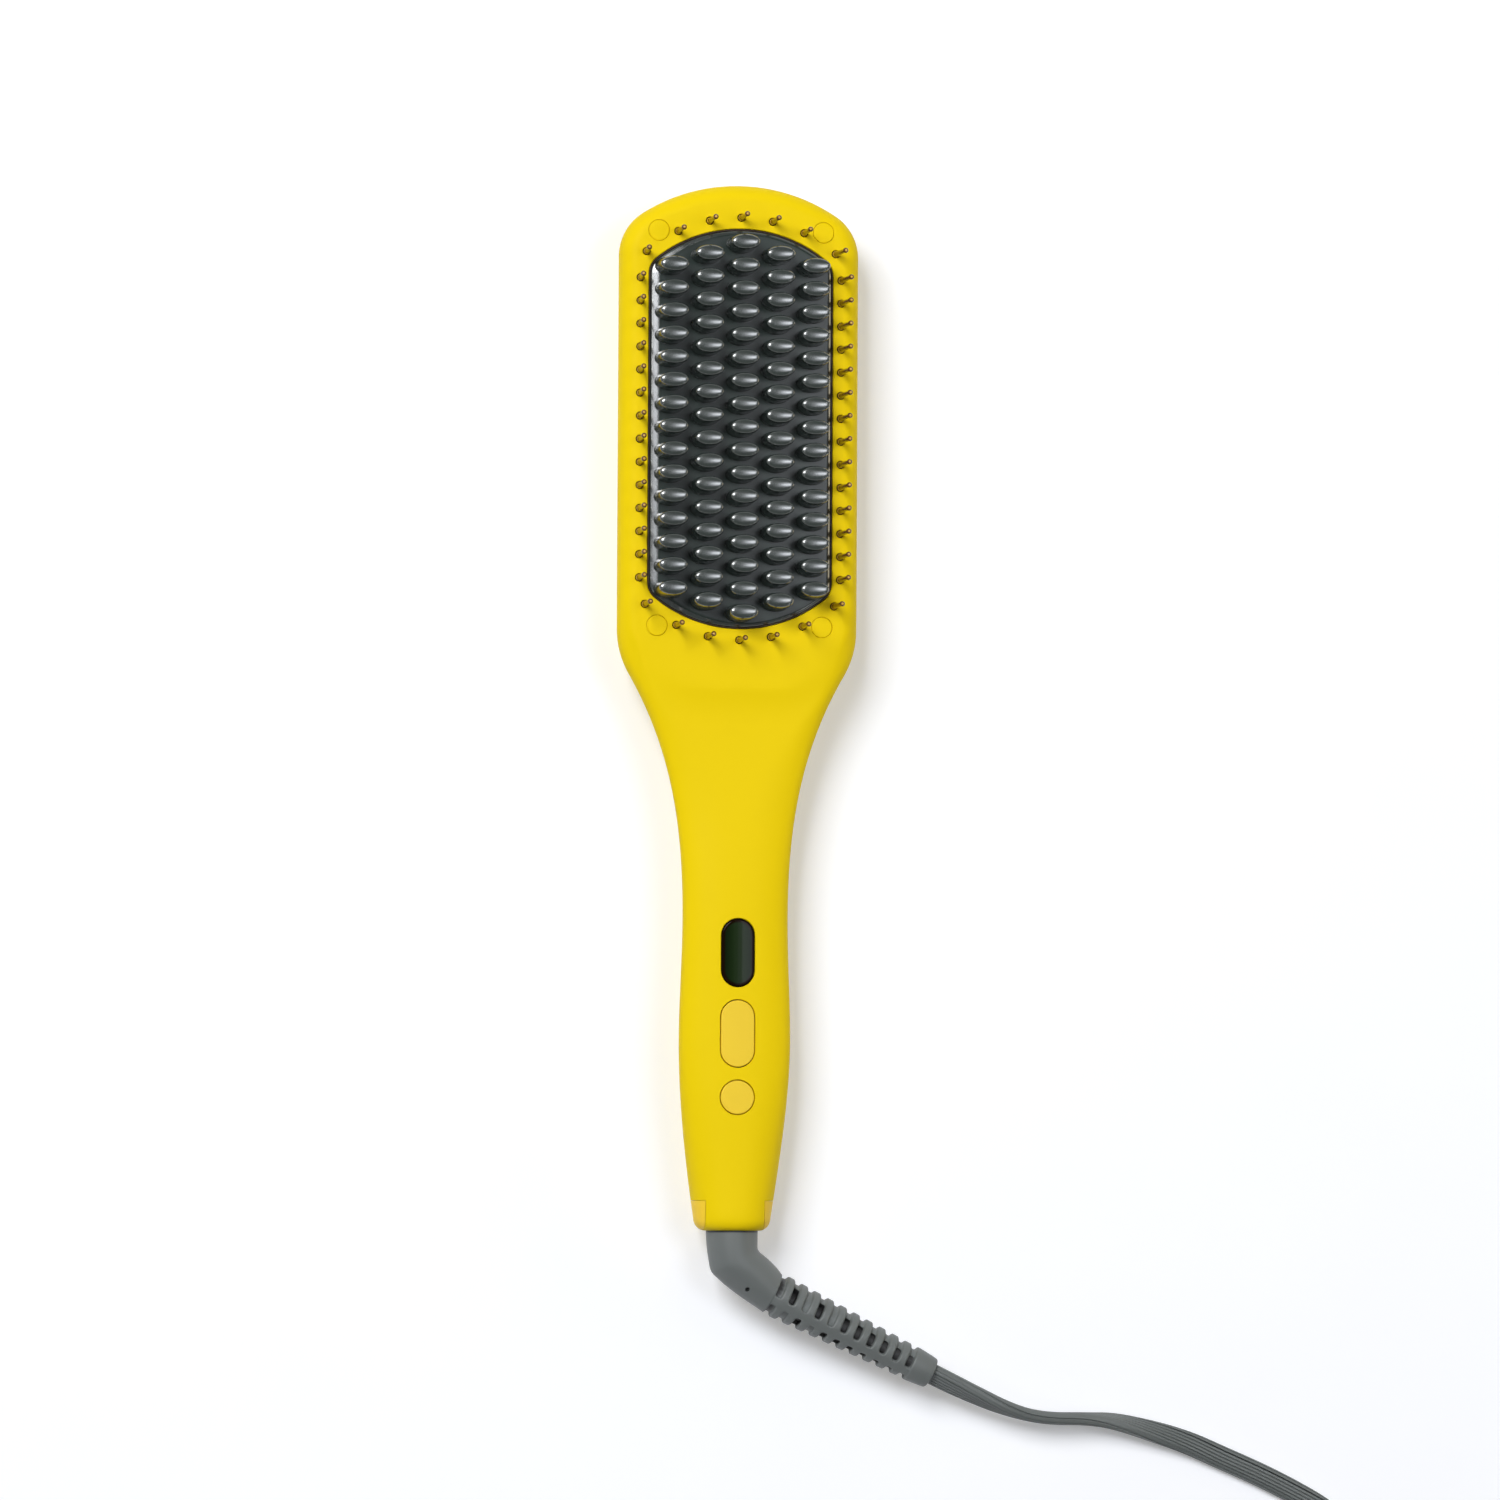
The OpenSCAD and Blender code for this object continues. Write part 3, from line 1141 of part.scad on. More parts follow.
// Plug: [distance from the cord, half width, half height] of each ring of its moulding
plug_rings = [
    [0, 4.4, 3.2], [6, 4.8, 3.6], [12, 5.2, 4.2], [18, 6, 5], [23, 8.5, 6.6],
    [28, 0.42 * plug_w, 0.46 * plug_h], [36, 0.44 * plug_w, 0.46 * plug_h],
    [46, 0.5 * plug_w, 0.5 * plug_h], [51, 0.5 * plug_w, 0.5 * plug_h]
];
blade_pitch = 12.7;
blade_w = 6.35;
blade_t = 1.5;
plug_l = plug_rings[len(plug_rings) - 1][0];
module plug_body() color(cord_grey) skin([
    for (r = plug_rings) [for (i = [0:15]) let (
            a = 360 * i / 16, c = cos(a), s = sin(a),
            k = 1 / pow(pow(abs(c), 3) + pow(abs(s), 3), 1 / 3)
        )
        plug_entry + [-r[0] - seat_gap, k * s * r[1], k * c * r[2]]]
]);
module plug_blades() color(brass_gold) for (s = [-1, 1])
    translate(plug_entry + [-plug_l - 2 * seat_gap - blade_l, s * blade_pitch / 2 - blade_t / 2, 0])
        difference() {
            translate([0, 0, -blade_w / 2]) cube([blade_l, blade_t, blade_w]);
            translate([3.3, -1, 0]) rotate([-90, 0, 0]) cylinder(r = 1.55, h = blade_t + 2);
        }

front_shell();
rear_shell();
tail_collar();
heat_plate();
plate_gasket();
cool_pins();
screw_covers();
head_screws();
heater_element();
heater_clamp();
clamp_screws();
insulation_sheet();
thermistor();
thermal_fuse();
heater_leads();
fuse_leads();
sensor_leads();
control_board();
board_screws();
control_chip();
triac();
filter_capacitor();
reservoir_capacitor();
display_module();
display_lens();
button_frame();
rocker_button();
power_button();
switch_bodies();
plunger_up();
plunger_down();
plunger_power();
swivel_socket();
contact_block();
contact_springs();
mains_leads();
swivel_elbow();
retaining_clip();
slip_rings();
swivel_wires();
strain_relief();
inner_cord();
cord_lead();
cord_coil();
cord_tail();
cord_tie();
plug_body();
plug_blades();
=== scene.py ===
"""Looks of a heated straightening brush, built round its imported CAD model.

Shapes are worked out in millimetres, in the CAD model's own frame, and become metres in Shape.mesh.
"""
import math

import bmesh
import bpy
from mathutils import Matrix, Vector
from mathutils.bvhtree import BVHTree
from mathutils.interpolate import poly_3d_calc


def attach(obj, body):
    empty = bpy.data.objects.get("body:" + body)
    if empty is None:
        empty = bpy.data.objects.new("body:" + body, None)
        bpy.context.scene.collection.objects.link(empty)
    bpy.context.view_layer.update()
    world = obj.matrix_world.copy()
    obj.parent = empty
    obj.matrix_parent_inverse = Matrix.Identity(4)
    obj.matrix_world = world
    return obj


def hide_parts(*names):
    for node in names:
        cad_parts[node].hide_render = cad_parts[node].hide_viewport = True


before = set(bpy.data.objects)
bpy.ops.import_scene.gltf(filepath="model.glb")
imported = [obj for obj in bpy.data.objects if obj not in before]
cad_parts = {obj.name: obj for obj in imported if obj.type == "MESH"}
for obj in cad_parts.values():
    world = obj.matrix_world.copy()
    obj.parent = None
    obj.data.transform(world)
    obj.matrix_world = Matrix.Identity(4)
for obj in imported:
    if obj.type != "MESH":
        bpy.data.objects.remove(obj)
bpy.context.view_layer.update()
MM = 0.001

# Sizes in millimetres, the same as in part.scad
HEAD_W, HEAD_L = 66.8, 123.3
HEAD_TOP_R, HEAD_CORNER_R = 49.6, 14
FACE_Z, FACE_RIM, BACK_RIM = 24, 5, 16
FACE_DROP, FACE_DROP_L, RIM_BLEND_L = 1.2, 9, 45
CREASE_BACK, CREASE_FLAT, CREASE_RUN, CREASE_RISE = 4.4, 11, 18, 14
WALL, PART_Z = 2, 18.7
SHOULDER_R, SHOULDER_TURN = 25, 30
NECK_L, NECK_W, NECK_BACK_Z = 80.3, 29.2, 3.5
GRIP_L, GRIP_W, GRIP_Z = 33.5, 30.9, 25
TAPER_L, TAIL_W, TAIL_SLOPE, TAIL_ROUND = 48.95, 21.5, 0.148, 3.55
TAIL_FRONT_Z, TAIL_BACK_Z = 24.5, 3.5
PLATE_W, PLATE_L, PLATE_END_R, PLATE_CORNER_R = 50.1, 109.6, 37, 5
PLATE_FROM_TOP, PLATE_PROUD, WINDOW_GAP = 13.1, 0.3, 0.75
TOOTH_ROWS, TOOTH_ROW_PITCH, TOOTH_COL_PITCH = 17, 6.4, 9.85
TOOTH_L, TOOTH_W, TOOTH_H = 8.9, 5.4, 10
PIN_H, PIN_SIDE_GAP, PIN_END_GAP, PIN_END_PITCH = 13, 3, 3.8, 8.8
PIN_BASE_R, PIN_BALL_R, PIN_GAP = 1, 0.75, 0.15
COVER_R, COVER_INSET, COVER_GAP = 2.85, 2.05, 0.1
DISPLAY_S, DISPLAY_L, ROCKER_S, ROCKER_L, POWER_S = 76.6, 18.9, 54.3, 18.4, 36.7
BUTTON_W, BUTTON_GAP = 9.3, 0.27
SWIVEL_Z, GLAND_R, STEM_R, GLAND_L = 14.5, 7.2, 5, 9.7
ELBOW_TURN, OUTLET_L, OUTLET_R, DROOP = 57, 13.6, 6.25, 4
BOOT_L, BOOT_TURN, BOOT_END_R, BOOT_COLLAR_L = 50.3, 64, 4.8, 6.6
BOOT_SLOTS, SLOT_PITCH, SLOT_FROM, SLOT_W = 11, 4.16, 1.1, 1.8
SPINE_ROLL, SPINE_TWIST, SPINE_W, BRIDGE_W, SLOT_FLOOR_R = 21, 21, 2.6, 3.9, 4.1
CORD_W, CORD_T = 6.6, 3.6
COIL_R, COIL_PITCH, COIL_TURNS, COIL_DIP, COIL_CLIMB = 49.6, 4.15, 10, 2.2, 150
COIL_C = Vector((145, -281, 0))
PLUG_W, PLUG_H = 25, 17

body_l = HEAD_L + NECK_L + GRIP_L + TAPER_L + TAIL_ROUND
y_top = body_l / 2
y_tail = -body_l / 2
y_taper = y_tail + TAIL_ROUND
y_grip = y_taper + TAPER_L
y_neck = y_grip + GRIP_L
y_head = y_neck + NECK_L
y_shoulder = y_head - SHOULDER_R * math.sin(math.radians(SHOULDER_TURN))
y_crease = y_shoulder - CREASE_BACK
y_drop = y_crease - FACE_DROP_L
y_level = y_crease + 30
y_fan = y_top - HEAD_W / 2
plate_y = y_top - PLATE_FROM_TOP - PLATE_L / 2
plate_arc_y = PLATE_L / 2 - PLATE_END_R
display_y = y_tail + DISPLAY_S
rocker_y = y_tail + ROCKER_S
power_y = y_tail + POWER_S
neck_front_z = FACE_Z - FACE_DROP
grip_flat_top = y_neck - 4
grip_flat_end = power_y + 4
neck_low_y = y_shoulder - 30
lip_r = GLAND_R + 0.3
under_face_z = FACE_Z - WALL
crown_r = (GRIP_W / 2 - 0.5) ** 2 / (GRIP_Z - PART_Z)


def lerp(a, b, t):
    return a + (b - a) * t


def ease(t):
    t = min(max(t, 0), 1)
    return t * t * (3 - 2 * t)


def hermite(a, b, slope_a, slope_b, t):
    return (
        (2 * t ** 3 - 3 * t ** 2 + 1) * a + (t ** 3 - 2 * t ** 2 + t) * slope_a
        + (3 * t ** 2 - 2 * t ** 3) * b + (t ** 3 - t ** 2) * slope_b
    )


def spread(a, b, n):
    """n values from a up to but not including b."""
    return [lerp(a, b, i / n) for i in range(n)]


def turn(angle):
    """Cosine and sine of an angle in degrees."""
    return math.cos(math.radians(angle)), math.sin(math.radians(angle))


def circle(n):
    """Cosine and sine of n even steps round."""
    return [turn(360 * i / n) for i in range(n)]


def moved(x, y, z):
    return Matrix.Translation((x, y, z))


def rotated(angle, axis):
    return Matrix.Rotation(math.radians(angle), 4, axis)


def linear(r, g, b):
    """A colour written as 0 to 255, as the shader takes it."""
    parts = [c / 255 for c in (r, g, b)]
    return [c / 12.92 if c <= 0.04045 else ((c + 0.055) / 1.055) ** 2.4 for c in parts] + [1]


class Signal:
    """An output of a shader node. Arithmetic on it adds Math nodes."""

    def __init__(self, nodes, socket):
        self.nodes = nodes
        self.socket = socket

    def __add__(self, other):
        return self.nodes.math("ADD", self, other)

    def __sub__(self, other):
        return self.nodes.math("SUBTRACT", self, other)

    def __rsub__(self, other):
        return self.nodes.math("SUBTRACT", other, self)

    def __mul__(self, other):
        return self.nodes.math("MULTIPLY", self, other)

    def __neg__(self):
        return self * -1

    def __abs__(self):
        return self.nodes.math("ABSOLUTE", self)

    __radd__ = __add__
    __rmul__ = __mul__

    def below(self, limit, soft):
        """1 where the value is under the limit, 0 over it, with a soft step between."""
        return self.nodes.math("DIVIDE", limit - self, soft, clamp=True)


class Nodes:
    """A shader's nodes."""

    def __init__(self, tree):
        self.tree = tree

    def feed(self, socket, value):
        if isinstance(value, Signal):
            self.tree.links.new(value.socket, socket)
        else:
            socket.default_value = value

    def node(self, kind, inputs, output=0, **settings):
        made = self.tree.nodes.new(kind)
        for name, value in settings.items():
            setattr(made, name, value)
        for name, value in inputs.items():
            self.feed(made.inputs[name], value)
        return Signal(self, made.outputs[output])

    def math(self, operation, *values, clamp=False):
        return self.node(
            "ShaderNodeMath", dict(enumerate(values)), operation=operation, use_clamp=clamp
        )

    def axes(self, place):
        """The x, y and z of a place."""
        parts = self.node("ShaderNodeSeparateXYZ", {0: place})
        return [Signal(self, out) for out in parts.socket.node.outputs]

    def seen(self, least):
        """1 where the camera, a mirror or a clear piece looks, least for all other light."""
        rays = self.node("ShaderNodeLightPath", {}).socket.node.outputs
        value = least
        for ray in ("Is Camera Ray", "Is Glossy Ray", "Is Transmission Ray"):
            value = self.math("MAXIMUM", Signal(self, rays[ray]), value)
        return value


class Finish(Nodes):
    """A procedural material on one Principled shader."""

    def __init__(self, name, colour, roughness, **constants):
        self.material = bpy.data.materials.new(name)
        self.material.use_nodes = True
        super().__init__(self.material.node_tree)
        self.shader = self.tree.nodes["Principled BSDF"]
        self.material.diffuse_color = colour
        self.set(base_color=colour, roughness=roughness, **constants)

    def set(self, **values):
        for name, value in values.items():
            self.feed(self.shader.inputs[name.replace("_", " ").title().replace("Ior", "IOR")], value)

    def place(self):
        """Where a point lies on the piece, in metres."""
        return self.node("ShaderNodeTexCoord", {}, "Object")

    def noise(self, size, detail=2, stretch=(1, 1, 1)):
        """Noise from 0 to 1 whose patches are about size millimetres across."""
        place = self.node("ShaderNodeVectorMath", {0: self.place(), 1: stretch}, operation="MULTIPLY")
        inputs = {"Vector": place, "Scale": 1 / (size * MM), "Detail": detail}
        return self.node("ShaderNodeTexNoise", inputs, "Fac")

    def mix(self, a, b, share):
        return self.node("ShaderNodeMix", {0: share, 6: a, 7: b}, 2, data_type="RGBA")

    def drift(self, colour, by, size, detail=3):
        """A colour that wanders lighter and darker by a share of itself."""
        return self.mix(shade(colour, 1 - by), shade(colour, 1 + by), self.noise(size, detail))

    def uneven(self, roughness, by, size=5, detail=3):
        return roughness + (self.noise(size, detail) - 0.5) * by

    def bump(self, height, depth):
        """Relief whose height signal of 1 stands depth millimetres high."""
        return self.node("ShaderNodeBump", {"Strength": 1, "Distance": depth * MM, "Height": height})


def shade(colour, factor):
    return [min(c * factor, 1) for c in colour[:3]] + [1]


def moulded(name, colour, roughness, grain, grain_depth, drift, **constants):
    """Moulded plastic: a fine grain, a slow drift of its colour and a slightly uneven gloss."""
    finish = Finish(name, colour, roughness, **constants)
    finish.plain = finish.drift(colour, drift, 28)
    finish.set(
        base_color=finish.plain, roughness=finish.uneven(roughness, 0.1),
        normal=finish.bump(finish.noise(grain), grain_depth),
    )
    return finish


def drawn_metal(name, colour, roughness):
    """Rolled or drawn metal with fine lines along one direction."""
    finish = Finish(name, colour, roughness, metallic=1)
    lines = finish.noise(1.2, 3, (1, 12, 1))
    finish.set(
        base_color=finish.mix(shade(colour, 0.86), shade(colour, 1.08), lines),
        roughness=roughness + (lines - 0.5) * 0.22, normal=finish.bump(lines, 0.004),
    )
    return finish


def cord_rubber(name):
    return moulded(name, linear(105, 110, 109), 0.48, 0.3, 0.012, 0.05)


shell_yellow = moulded(
    "shell_yellow", linear(244, 212, 10), 0.5, 0.5, 0.002, 0.015, specular_ior_level=0.06
)
collar_yellow, accent_yellow = (
    moulded(name, colour, 0.48, 0.5, 0.003, 0.015, specular_ior_level=0.2) for name, colour in (
        ("collar_yellow", linear(255, 212, 52)), ("accent_yellow", linear(246, 209, 50)),
    )
)
cord_grey = cord_rubber("cord_grey")
seal_brown = moulded("seal_brown", linear(56, 40, 24), 0.55, 0.4, 0.006, 0.08)


def glaze_finish():
    """Dark glaze, with a thin coat on the flat ground between the teeth, but not along the left side."""
    colour = linear(41, 51, 47)
    finish = Finish(
        "plate_glaze", colour, 0.3, coat_weight=1, coat_roughness=0.2, coat_ior=2.2,
        specular_ior_level=0.1,
    )
    x, y, z = finish.axes(finish.place())
    ground = abs(z - (FACE_Z + PLATE_PROUD) * MM).below(0.12 * MM, 0.06 * MM)
    ground = ground * (-x).below((PLATE_W / 2 - 2) * MM, 0.5 * MM)
    finish.set(
        base_color=finish.drift(colour, 0.05, 12), roughness=finish.uneven(0.3, 0.08),
        coat_weight=1 - ground * 0.88, normal=finish.bump(finish.noise(2.5), 0.0015),
    )
    return finish


def pin_finish():
    """Clear amber, darker towards its ball, with painted light: a lighter foot where light shows through, a
    painted shaded rim low on the foot and a painted highlight on top of the ball.
    """
    finish = Finish("pin_amber", linear(120, 74, 10), 0.3, coat_weight=0.1, coat_roughness=0.1)
    z = finish.axes(finish.place())[2]
    # Painted light: the foot lighter, as light shows through the clear amber there
    foot = z.below((FACE_Z + 1.2) * MM, 1.2 * MM)
    # Painted shade: a dark rim low on the foot, in the gap round it
    rim = z.below((FACE_Z + 0.12) * MM, 0.05 * MM)
    tip = (-z).below(-(FACE_Z + PIN_H - 3) * MM, 2 * MM)
    # Painted highlight on the top of the ball
    painted_crown_highlight = (-z).below(-(FACE_Z + PIN_H - 0.12) * MM, 0.06 * MM)
    colour = finish.mix(linear(232, 192, 80), linear(70, 42, 6), rim)
    colour = finish.mix(linear(128, 82, 4), colour, foot)
    colour = finish.mix(colour, linear(92, 54, 6), tip)
    colour = finish.mix(colour, linear(206, 160, 60), painted_crown_highlight)
    finish.set(
        base_color=colour, roughness=finish.uneven(0.2, 0.08, 4, 2),
        normal=finish.bump(finish.noise(0.5), 0.002),
    )
    return finish


def board_finish():
    """Green solder mask with lighter tracks under it."""
    colour = linear(28, 92, 56)
    finish = Finish("board", colour, 0.35, coat_weight=0.4, coat_roughness=0.15)
    x = finish.axes(finish.place())[0]
    lines = abs(finish.math("SINE", x * 900 + finish.noise(6, 0) * 3)).below(0.3, 0.2)
    finish.set(
        base_color=finish.mix(colour, linear(52, 126, 74), lines), normal=finish.bump(lines, 0.03),
    )
    return finish


def lens_finish():
    """Dark lens: a green-black window inside a black printed border."""
    finish = Finish("lens", linear(24, 34, 22), 0.06, specular_ior_level=0.07)
    x, y, z = finish.axes(finish.place())
    beyond = abs(y - display_y * MM) - (DISPLAY_L - BUTTON_W) / 2 * MM
    beyond = finish.math("MAXIMUM", beyond, 0)
    reach = finish.math("SQRT", x * x + beyond * beyond)
    window = reach.below((BUTTON_W / 2 - 0.85) * MM, 0.35 * MM)
    centre = abs(x + 0.2 * MM).below(3.4 * MM, 2.6 * MM)
    glass = finish.mix(linear(16, 30, 11), linear(28, 44, 20), centre)
    finish.set(
        base_color=finish.mix(linear(24, 12, 4), glass, window), roughness=0.06 + finish.noise(3) * 0.03,
    )
    return finish


plate_glaze = glaze_finish()
pin_amber = pin_finish()
tie_black = moulded("tie_black", linear(30, 31, 32), 0.6, 0.5, 0.02, 0.08)
lens_dark = lens_finish()


class Shape:
    """Points in millimetres and the faces between them."""

    def __init__(self):
        self.points = []
        self.faces = []

    def skin(self, rings, closed=False):
        """A skin over rings of the same number of points, with a face at either end or closed on itself."""
        n = len(rings[0])
        base = len(self.points)
        for ring in rings:
            self.points += [Vector(p) for p in ring]
        for i in range(len(rings) - 1 + closed):
            here, ahead = (base + k % len(rings) * n for k in (i, i + 1))
            for j in range(n):
                k = (j + 1) % n
                self.faces.append((here + j, ahead + j, ahead + k, here + k))
        if not closed:
            end = base + (len(rings) - 1) * n
            self.faces.append(tuple(base + j for j in range(n)))
            self.faces.append(tuple(end + j for j in reversed(range(n))))
        return self

    def lathe(self, profile, sides=32, matrix=Matrix()):
        """Turned about Z through (radius, height) points."""
        return self.skin([[matrix @ Vector((r * c, r * s, z)) for c, s in circle(sides)] for r, z in profile])

    def mesh(self, name):
        mesh = bpy.data.meshes.new(name)
        mesh.from_pydata([p * MM for p in self.points], [], self.faces)
        whole = bmesh.new()
        whole.from_mesh(mesh)
        bmesh.ops.recalc_face_normals(whole, faces=whole.faces)
        whole.to_mesh(mesh)
        whole.free()
        return mesh

    def object(self, name):
        made = bpy.data.objects.new(name, self.mesh(name))
        bpy.context.scene.collection.objects.link(made)
        return made


def make_piece(name, source, finish, stands_for, body="housing", edge=40):
    """Finishes a shape or an object as a piece of the brush."""
    made = source.object(name) if isinstance(source, Shape) else source
    made.name = name
    made.data.name = name
    made.data.materials.clear()
    made.data.materials.append(finish.material)
    made.data.shade_smooth()
    made.data.set_sharp_from_angle(angle=math.radians(edge))
    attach(made, body)
    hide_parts(*stands_for)
    return made


def carve(target, shape, operation="DIFFERENCE"):
    """Cuts a shape out of an object, or keeps only what they share."""
    cutter = shape.object("cutter")
    step = target.modifiers.new("carve", "BOOLEAN")
    step.operation = operation
    step.solver = "EXACT"
    step.object = cutter
    graph = bpy.context.evaluated_depsgraph_get()
    cut = bpy.data.meshes.new_from_object(target.evaluated_get(graph))
    target.modifiers.remove(step)
    spare = target.data, cutter.data
    target.data = cut
    bpy.data.objects.remove(cutter)
    for mesh in spare:
        bpy.data.meshes.remove(mesh)


def make_camera():
    """The camera, as it stood over the brush: a little to the left and below."""
    distance, view_w, sensor_w = 3.2, 0.4178, 36
    target = Vector((6.4, -10.9, 0)) * MM
    back = Vector((-0.137, -0.049, 1)).normalized()
    right = Vector((1, 0.0052, 0.137))
    right = (right - right.dot(back) * back).normalized()
    camera = bpy.data.objects.new("camera", bpy.data.cameras.new("camera"))
    bpy.context.scene.collection.objects.link(camera)
    facing = Matrix((right, back.cross(right), back)).transposed().to_4x4()
    camera.matrix_world = Matrix.Translation(target + distance * back) @ facing
    camera.data.sensor_width = sensor_w
    camera.data.lens = distance * sensor_w / view_w
    camera.data.clip_end = 20
    bpy.context.scene.camera = camera


make_camera()
bpy.context.scene.view_settings.view_transform = "Standard"


# Cord
swivel_frame = moved(0, y_tail, SWIVEL_Z) @ rotated(DROOP, "Y")


def heading(angle):
    """Level direction in the swivel's frame, turned from straight back."""
    c, s = turn(angle)
    return Vector((s, -c, 0))


def aimed(place, angle):
    """Runs along the outlet or the strain relief, as a Z axis at a place in the swivel's frame."""
    return swivel_frame @ moved(*place) @ rotated(angle - 90, "Z") @ rotated(90, "Y")


bend_place = Vector((0, -GLAND_L, 0))
outlet_place = bend_place + OUTLET_L * heading(ELBOW_TURN)
boot_end = swivel_frame @ (outlet_place + BOOT_L * heading(BOOT_TURN))
boot_axis = (swivel_frame.to_3x3() @ heading(BOOT_TURN)).normalized()
EXIT_TWIST = 45
COIL_STEP = 7.5
edge_z = CORD_W / 2 + 0.7
coil_layer = CORD_W + 0.5
coil_sweep = 360 * COIL_TURNS + 90
coil_turn_back = coil_sweep / 2


def coil_point(angle):
    u = abs(angle - coil_turn_back)
    r = COIL_R - COIL_PITCH * (coil_turn_back - u) / 360 - COIL_DIP * ease(1 - u / 180)
    c, s = turn(angle)
    height = edge_z + coil_layer * ease((angle - coil_turn_back) / COIL_CLIMB + 0.5)
    return Vector((COIL_C.x + r * c, COIL_C.y - r * s, height))


# Route over the table, listed point by point: x, y, height of the cord's middle and twist in degrees
lead_route = [
    (70, -190.3, 9.3, 60), (77, -193.2, 8.5, 75), (84, -195.3, 7.6, 88), (91, -196.3, 6.7, 90),
    (101, -196.5, 5.5, 95), (109, -197.2, 4.6, 115), (119, -199.6, 3.6, 140),
    (130, -203, 2.7, 165), (140, -207.2, 2.1, 178), (151, -212, 1.9, 180), (161, -217, 1.9, 178),
    (169.5, -222, 2.1, 165), (177, -228, 2.7, 140), (184, -236, 3.2, 115),
    (190, -246.5, 3.6, 98), (193.4, -259, 3.9, 90),
]
coil_start = Vector((COIL_C.x + COIL_R, COIL_C.y + CORD_W, edge_z))
coil_end = Vector((COIL_C.x - CORD_W, COIL_C.y - COIL_R, edge_z + coil_layer))
plug_entry = Vector((98, COIL_C.y - COIL_R, PLUG_H / 2))


def smooth_run(stops, steps):
    """Points and twists on a curve through the stops, (point, twist) each."""
    values = [Vector((*p, twist)) for p, twist in stops]
    run = []
    for i in range(len(values) - 1):
        a, b = values[max(i - 1, 0)], values[i]
        c, d = values[i + 1], values[min(i + 2, len(values) - 1)]
        past, reach, ahead = ((q - p).xyz.length for p, q in ((a, b), (b, c), (c, d)))
        before = (c - a) / (reach + past) * reach
        after = (d - b) / (reach + ahead) * reach
        run += [hermite(b, c, before, after, t) for t in spread(0, 1, steps)]
    run.append(values[-1])
    return [(v.xyz, v.w) for v in run]


def cord_route():
    lead = [(boot_end - 3 * boot_axis, EXIT_TWIST), (boot_end + CORD_W * boot_axis, EXIT_TWIST + 3)]
    lead += [(Vector(p[:3]), p[3]) for p in lead_route]
    lead += [(coil_start + Vector((0, CORD_W, 0)), 90), (coil_start, 90)]
    coil = [(coil_point(a), 90) for a in spread(0, coil_sweep, round(coil_sweep / COIL_STEP))]
    left = Vector((-1, 0, 0))
    tail = [
        (coil_end, 90), (coil_end + CORD_W * left, 90),
        *((Vector((x, coil_end.y, lerp(coil_end.z, plug_entry.z, share))), twist)
          for x, share, twist in ((124, 0.35, 115), (115, 0.8, 150))),
        (plug_entry - CORD_W * left, 180), (plug_entry - 0.3 * left, 180),
    ]
    return smooth_run(lead, 5) + coil[1:] + smooth_run(tail, 4)


def cord_section():
    """The flat cord across: [width, thickness] points, with one deep groove and fine ones on each face."""
    half_w, half_t = CORD_W / 2, CORD_T / 2
    grooves = {-0.83: 0.4, -0.56: 0.95, -0.26: 0.36, 0.02: 0.36, 0.3: 0.42, 0.57: 0.42, 0.82: 0.4}
    half = []
    for centre, deep in grooves.items():
        for off, down in ((-0.07, 0), (0, deep), (0.07, 0), (0.13, 0)):
            u = centre + off
            half.append((u * half_w, half_t * (1 - abs(u) ** 3.4) ** (1 / 2.2) - down))
    half += [(half_w * 0.99, 0.3), (half_w - 0.4, 0), (half_w * 0.99, -0.3)]
    return half + [(-u, -v) for u, v in half]


def make_cord():
    route = cord_route()
    section = cord_section()
    rings = []
    for i, (p, twist) in enumerate(route):
        ahead = (route[min(i + 1, len(route) - 1)][0] - route[max(i - 1, 0)][0]).normalized()
        side = ahead.cross(Vector((0, 0, 1))).normalized()
        up = side.cross(ahead)
        c, s = turn(twist)
        rings.append([p + side * (u * c + v * s) + up * (v * c - u * s) for u, v in section])
    stands_for = "cord_lead", "cord_coil", "cord_tail"
    flex = make_piece("cord", Shape().skin(rings), cord_grey, stands_for, "swivel", 50)
    return flex, [p for p, twist in route]


cord, cord_path = make_cord()


# Outline of the brush and the heights of its faces
def grip_x(y):
    """Half width of the body between the tail's rounding and the shoulders."""
    if y < y_grip:
        return hermite(TAIL_W / 2, GRIP_W / 2, TAIL_SLOPE * TAPER_L, 0, (y - y_taper) / TAPER_L)
    if y < y_neck:
        return lerp(GRIP_W / 2, NECK_W / 2, ease((y - y_grip) / GRIP_L))
    shoulder_x = HEAD_W / 2 - SHOULDER_R * (1 - turn(SHOULDER_TURN)[0])
    run = y_shoulder - y_neck
    slope = math.tan(math.radians(SHOULDER_TURN)) * run
    return hermite(NECK_W / 2, shoulder_x, 0, slope, (y - y_neck) / run)


def part_h(y):
    return lerp(PART_Z, SWIVEL_Z, ease((y_grip - y) / TAPER_L))


def front_h(x, y):
    """The front's height, with the crease below the face rising towards the sides."""
    crease = y_crease + CREASE_RISE * (max(abs(x) - CREASE_FLAT, 0) / CREASE_RUN) ** 2
    u = min(max((crease - y) / FACE_DROP_L, 0), 1)
    height = FACE_Z - FACE_DROP * (1 - (1 - u) ** 2)
    height += (GRIP_Z - neck_front_z) * ease((y_drop - y) / (y_drop - grip_flat_top))
    return height - (GRIP_Z - TAIL_FRONT_Z) * ease((grip_flat_end - y) / (grip_flat_end - y_taper))


def back_h(y):
    if y >= neck_low_y:
        return lerp(NECK_BACK_Z, 0, ease((y - neck_low_y) / (y_head + 20 - neck_low_y)))
    if y >= y_grip:
        return lerp(0, NECK_BACK_Z, ease((y - y_grip) / (neck_low_y - y_grip)))
    return lerp(0, TAIL_BACK_Z, ease((y_grip - y) / TAPER_L))


def tail_open(y):
    """How far the tail's rounding is open: 0 at its end, 1 above it."""
    return 1 if y >= y_taper else math.sqrt(max(0, 1 - (1 - (y - y_tail) / TAIL_ROUND) ** 2))


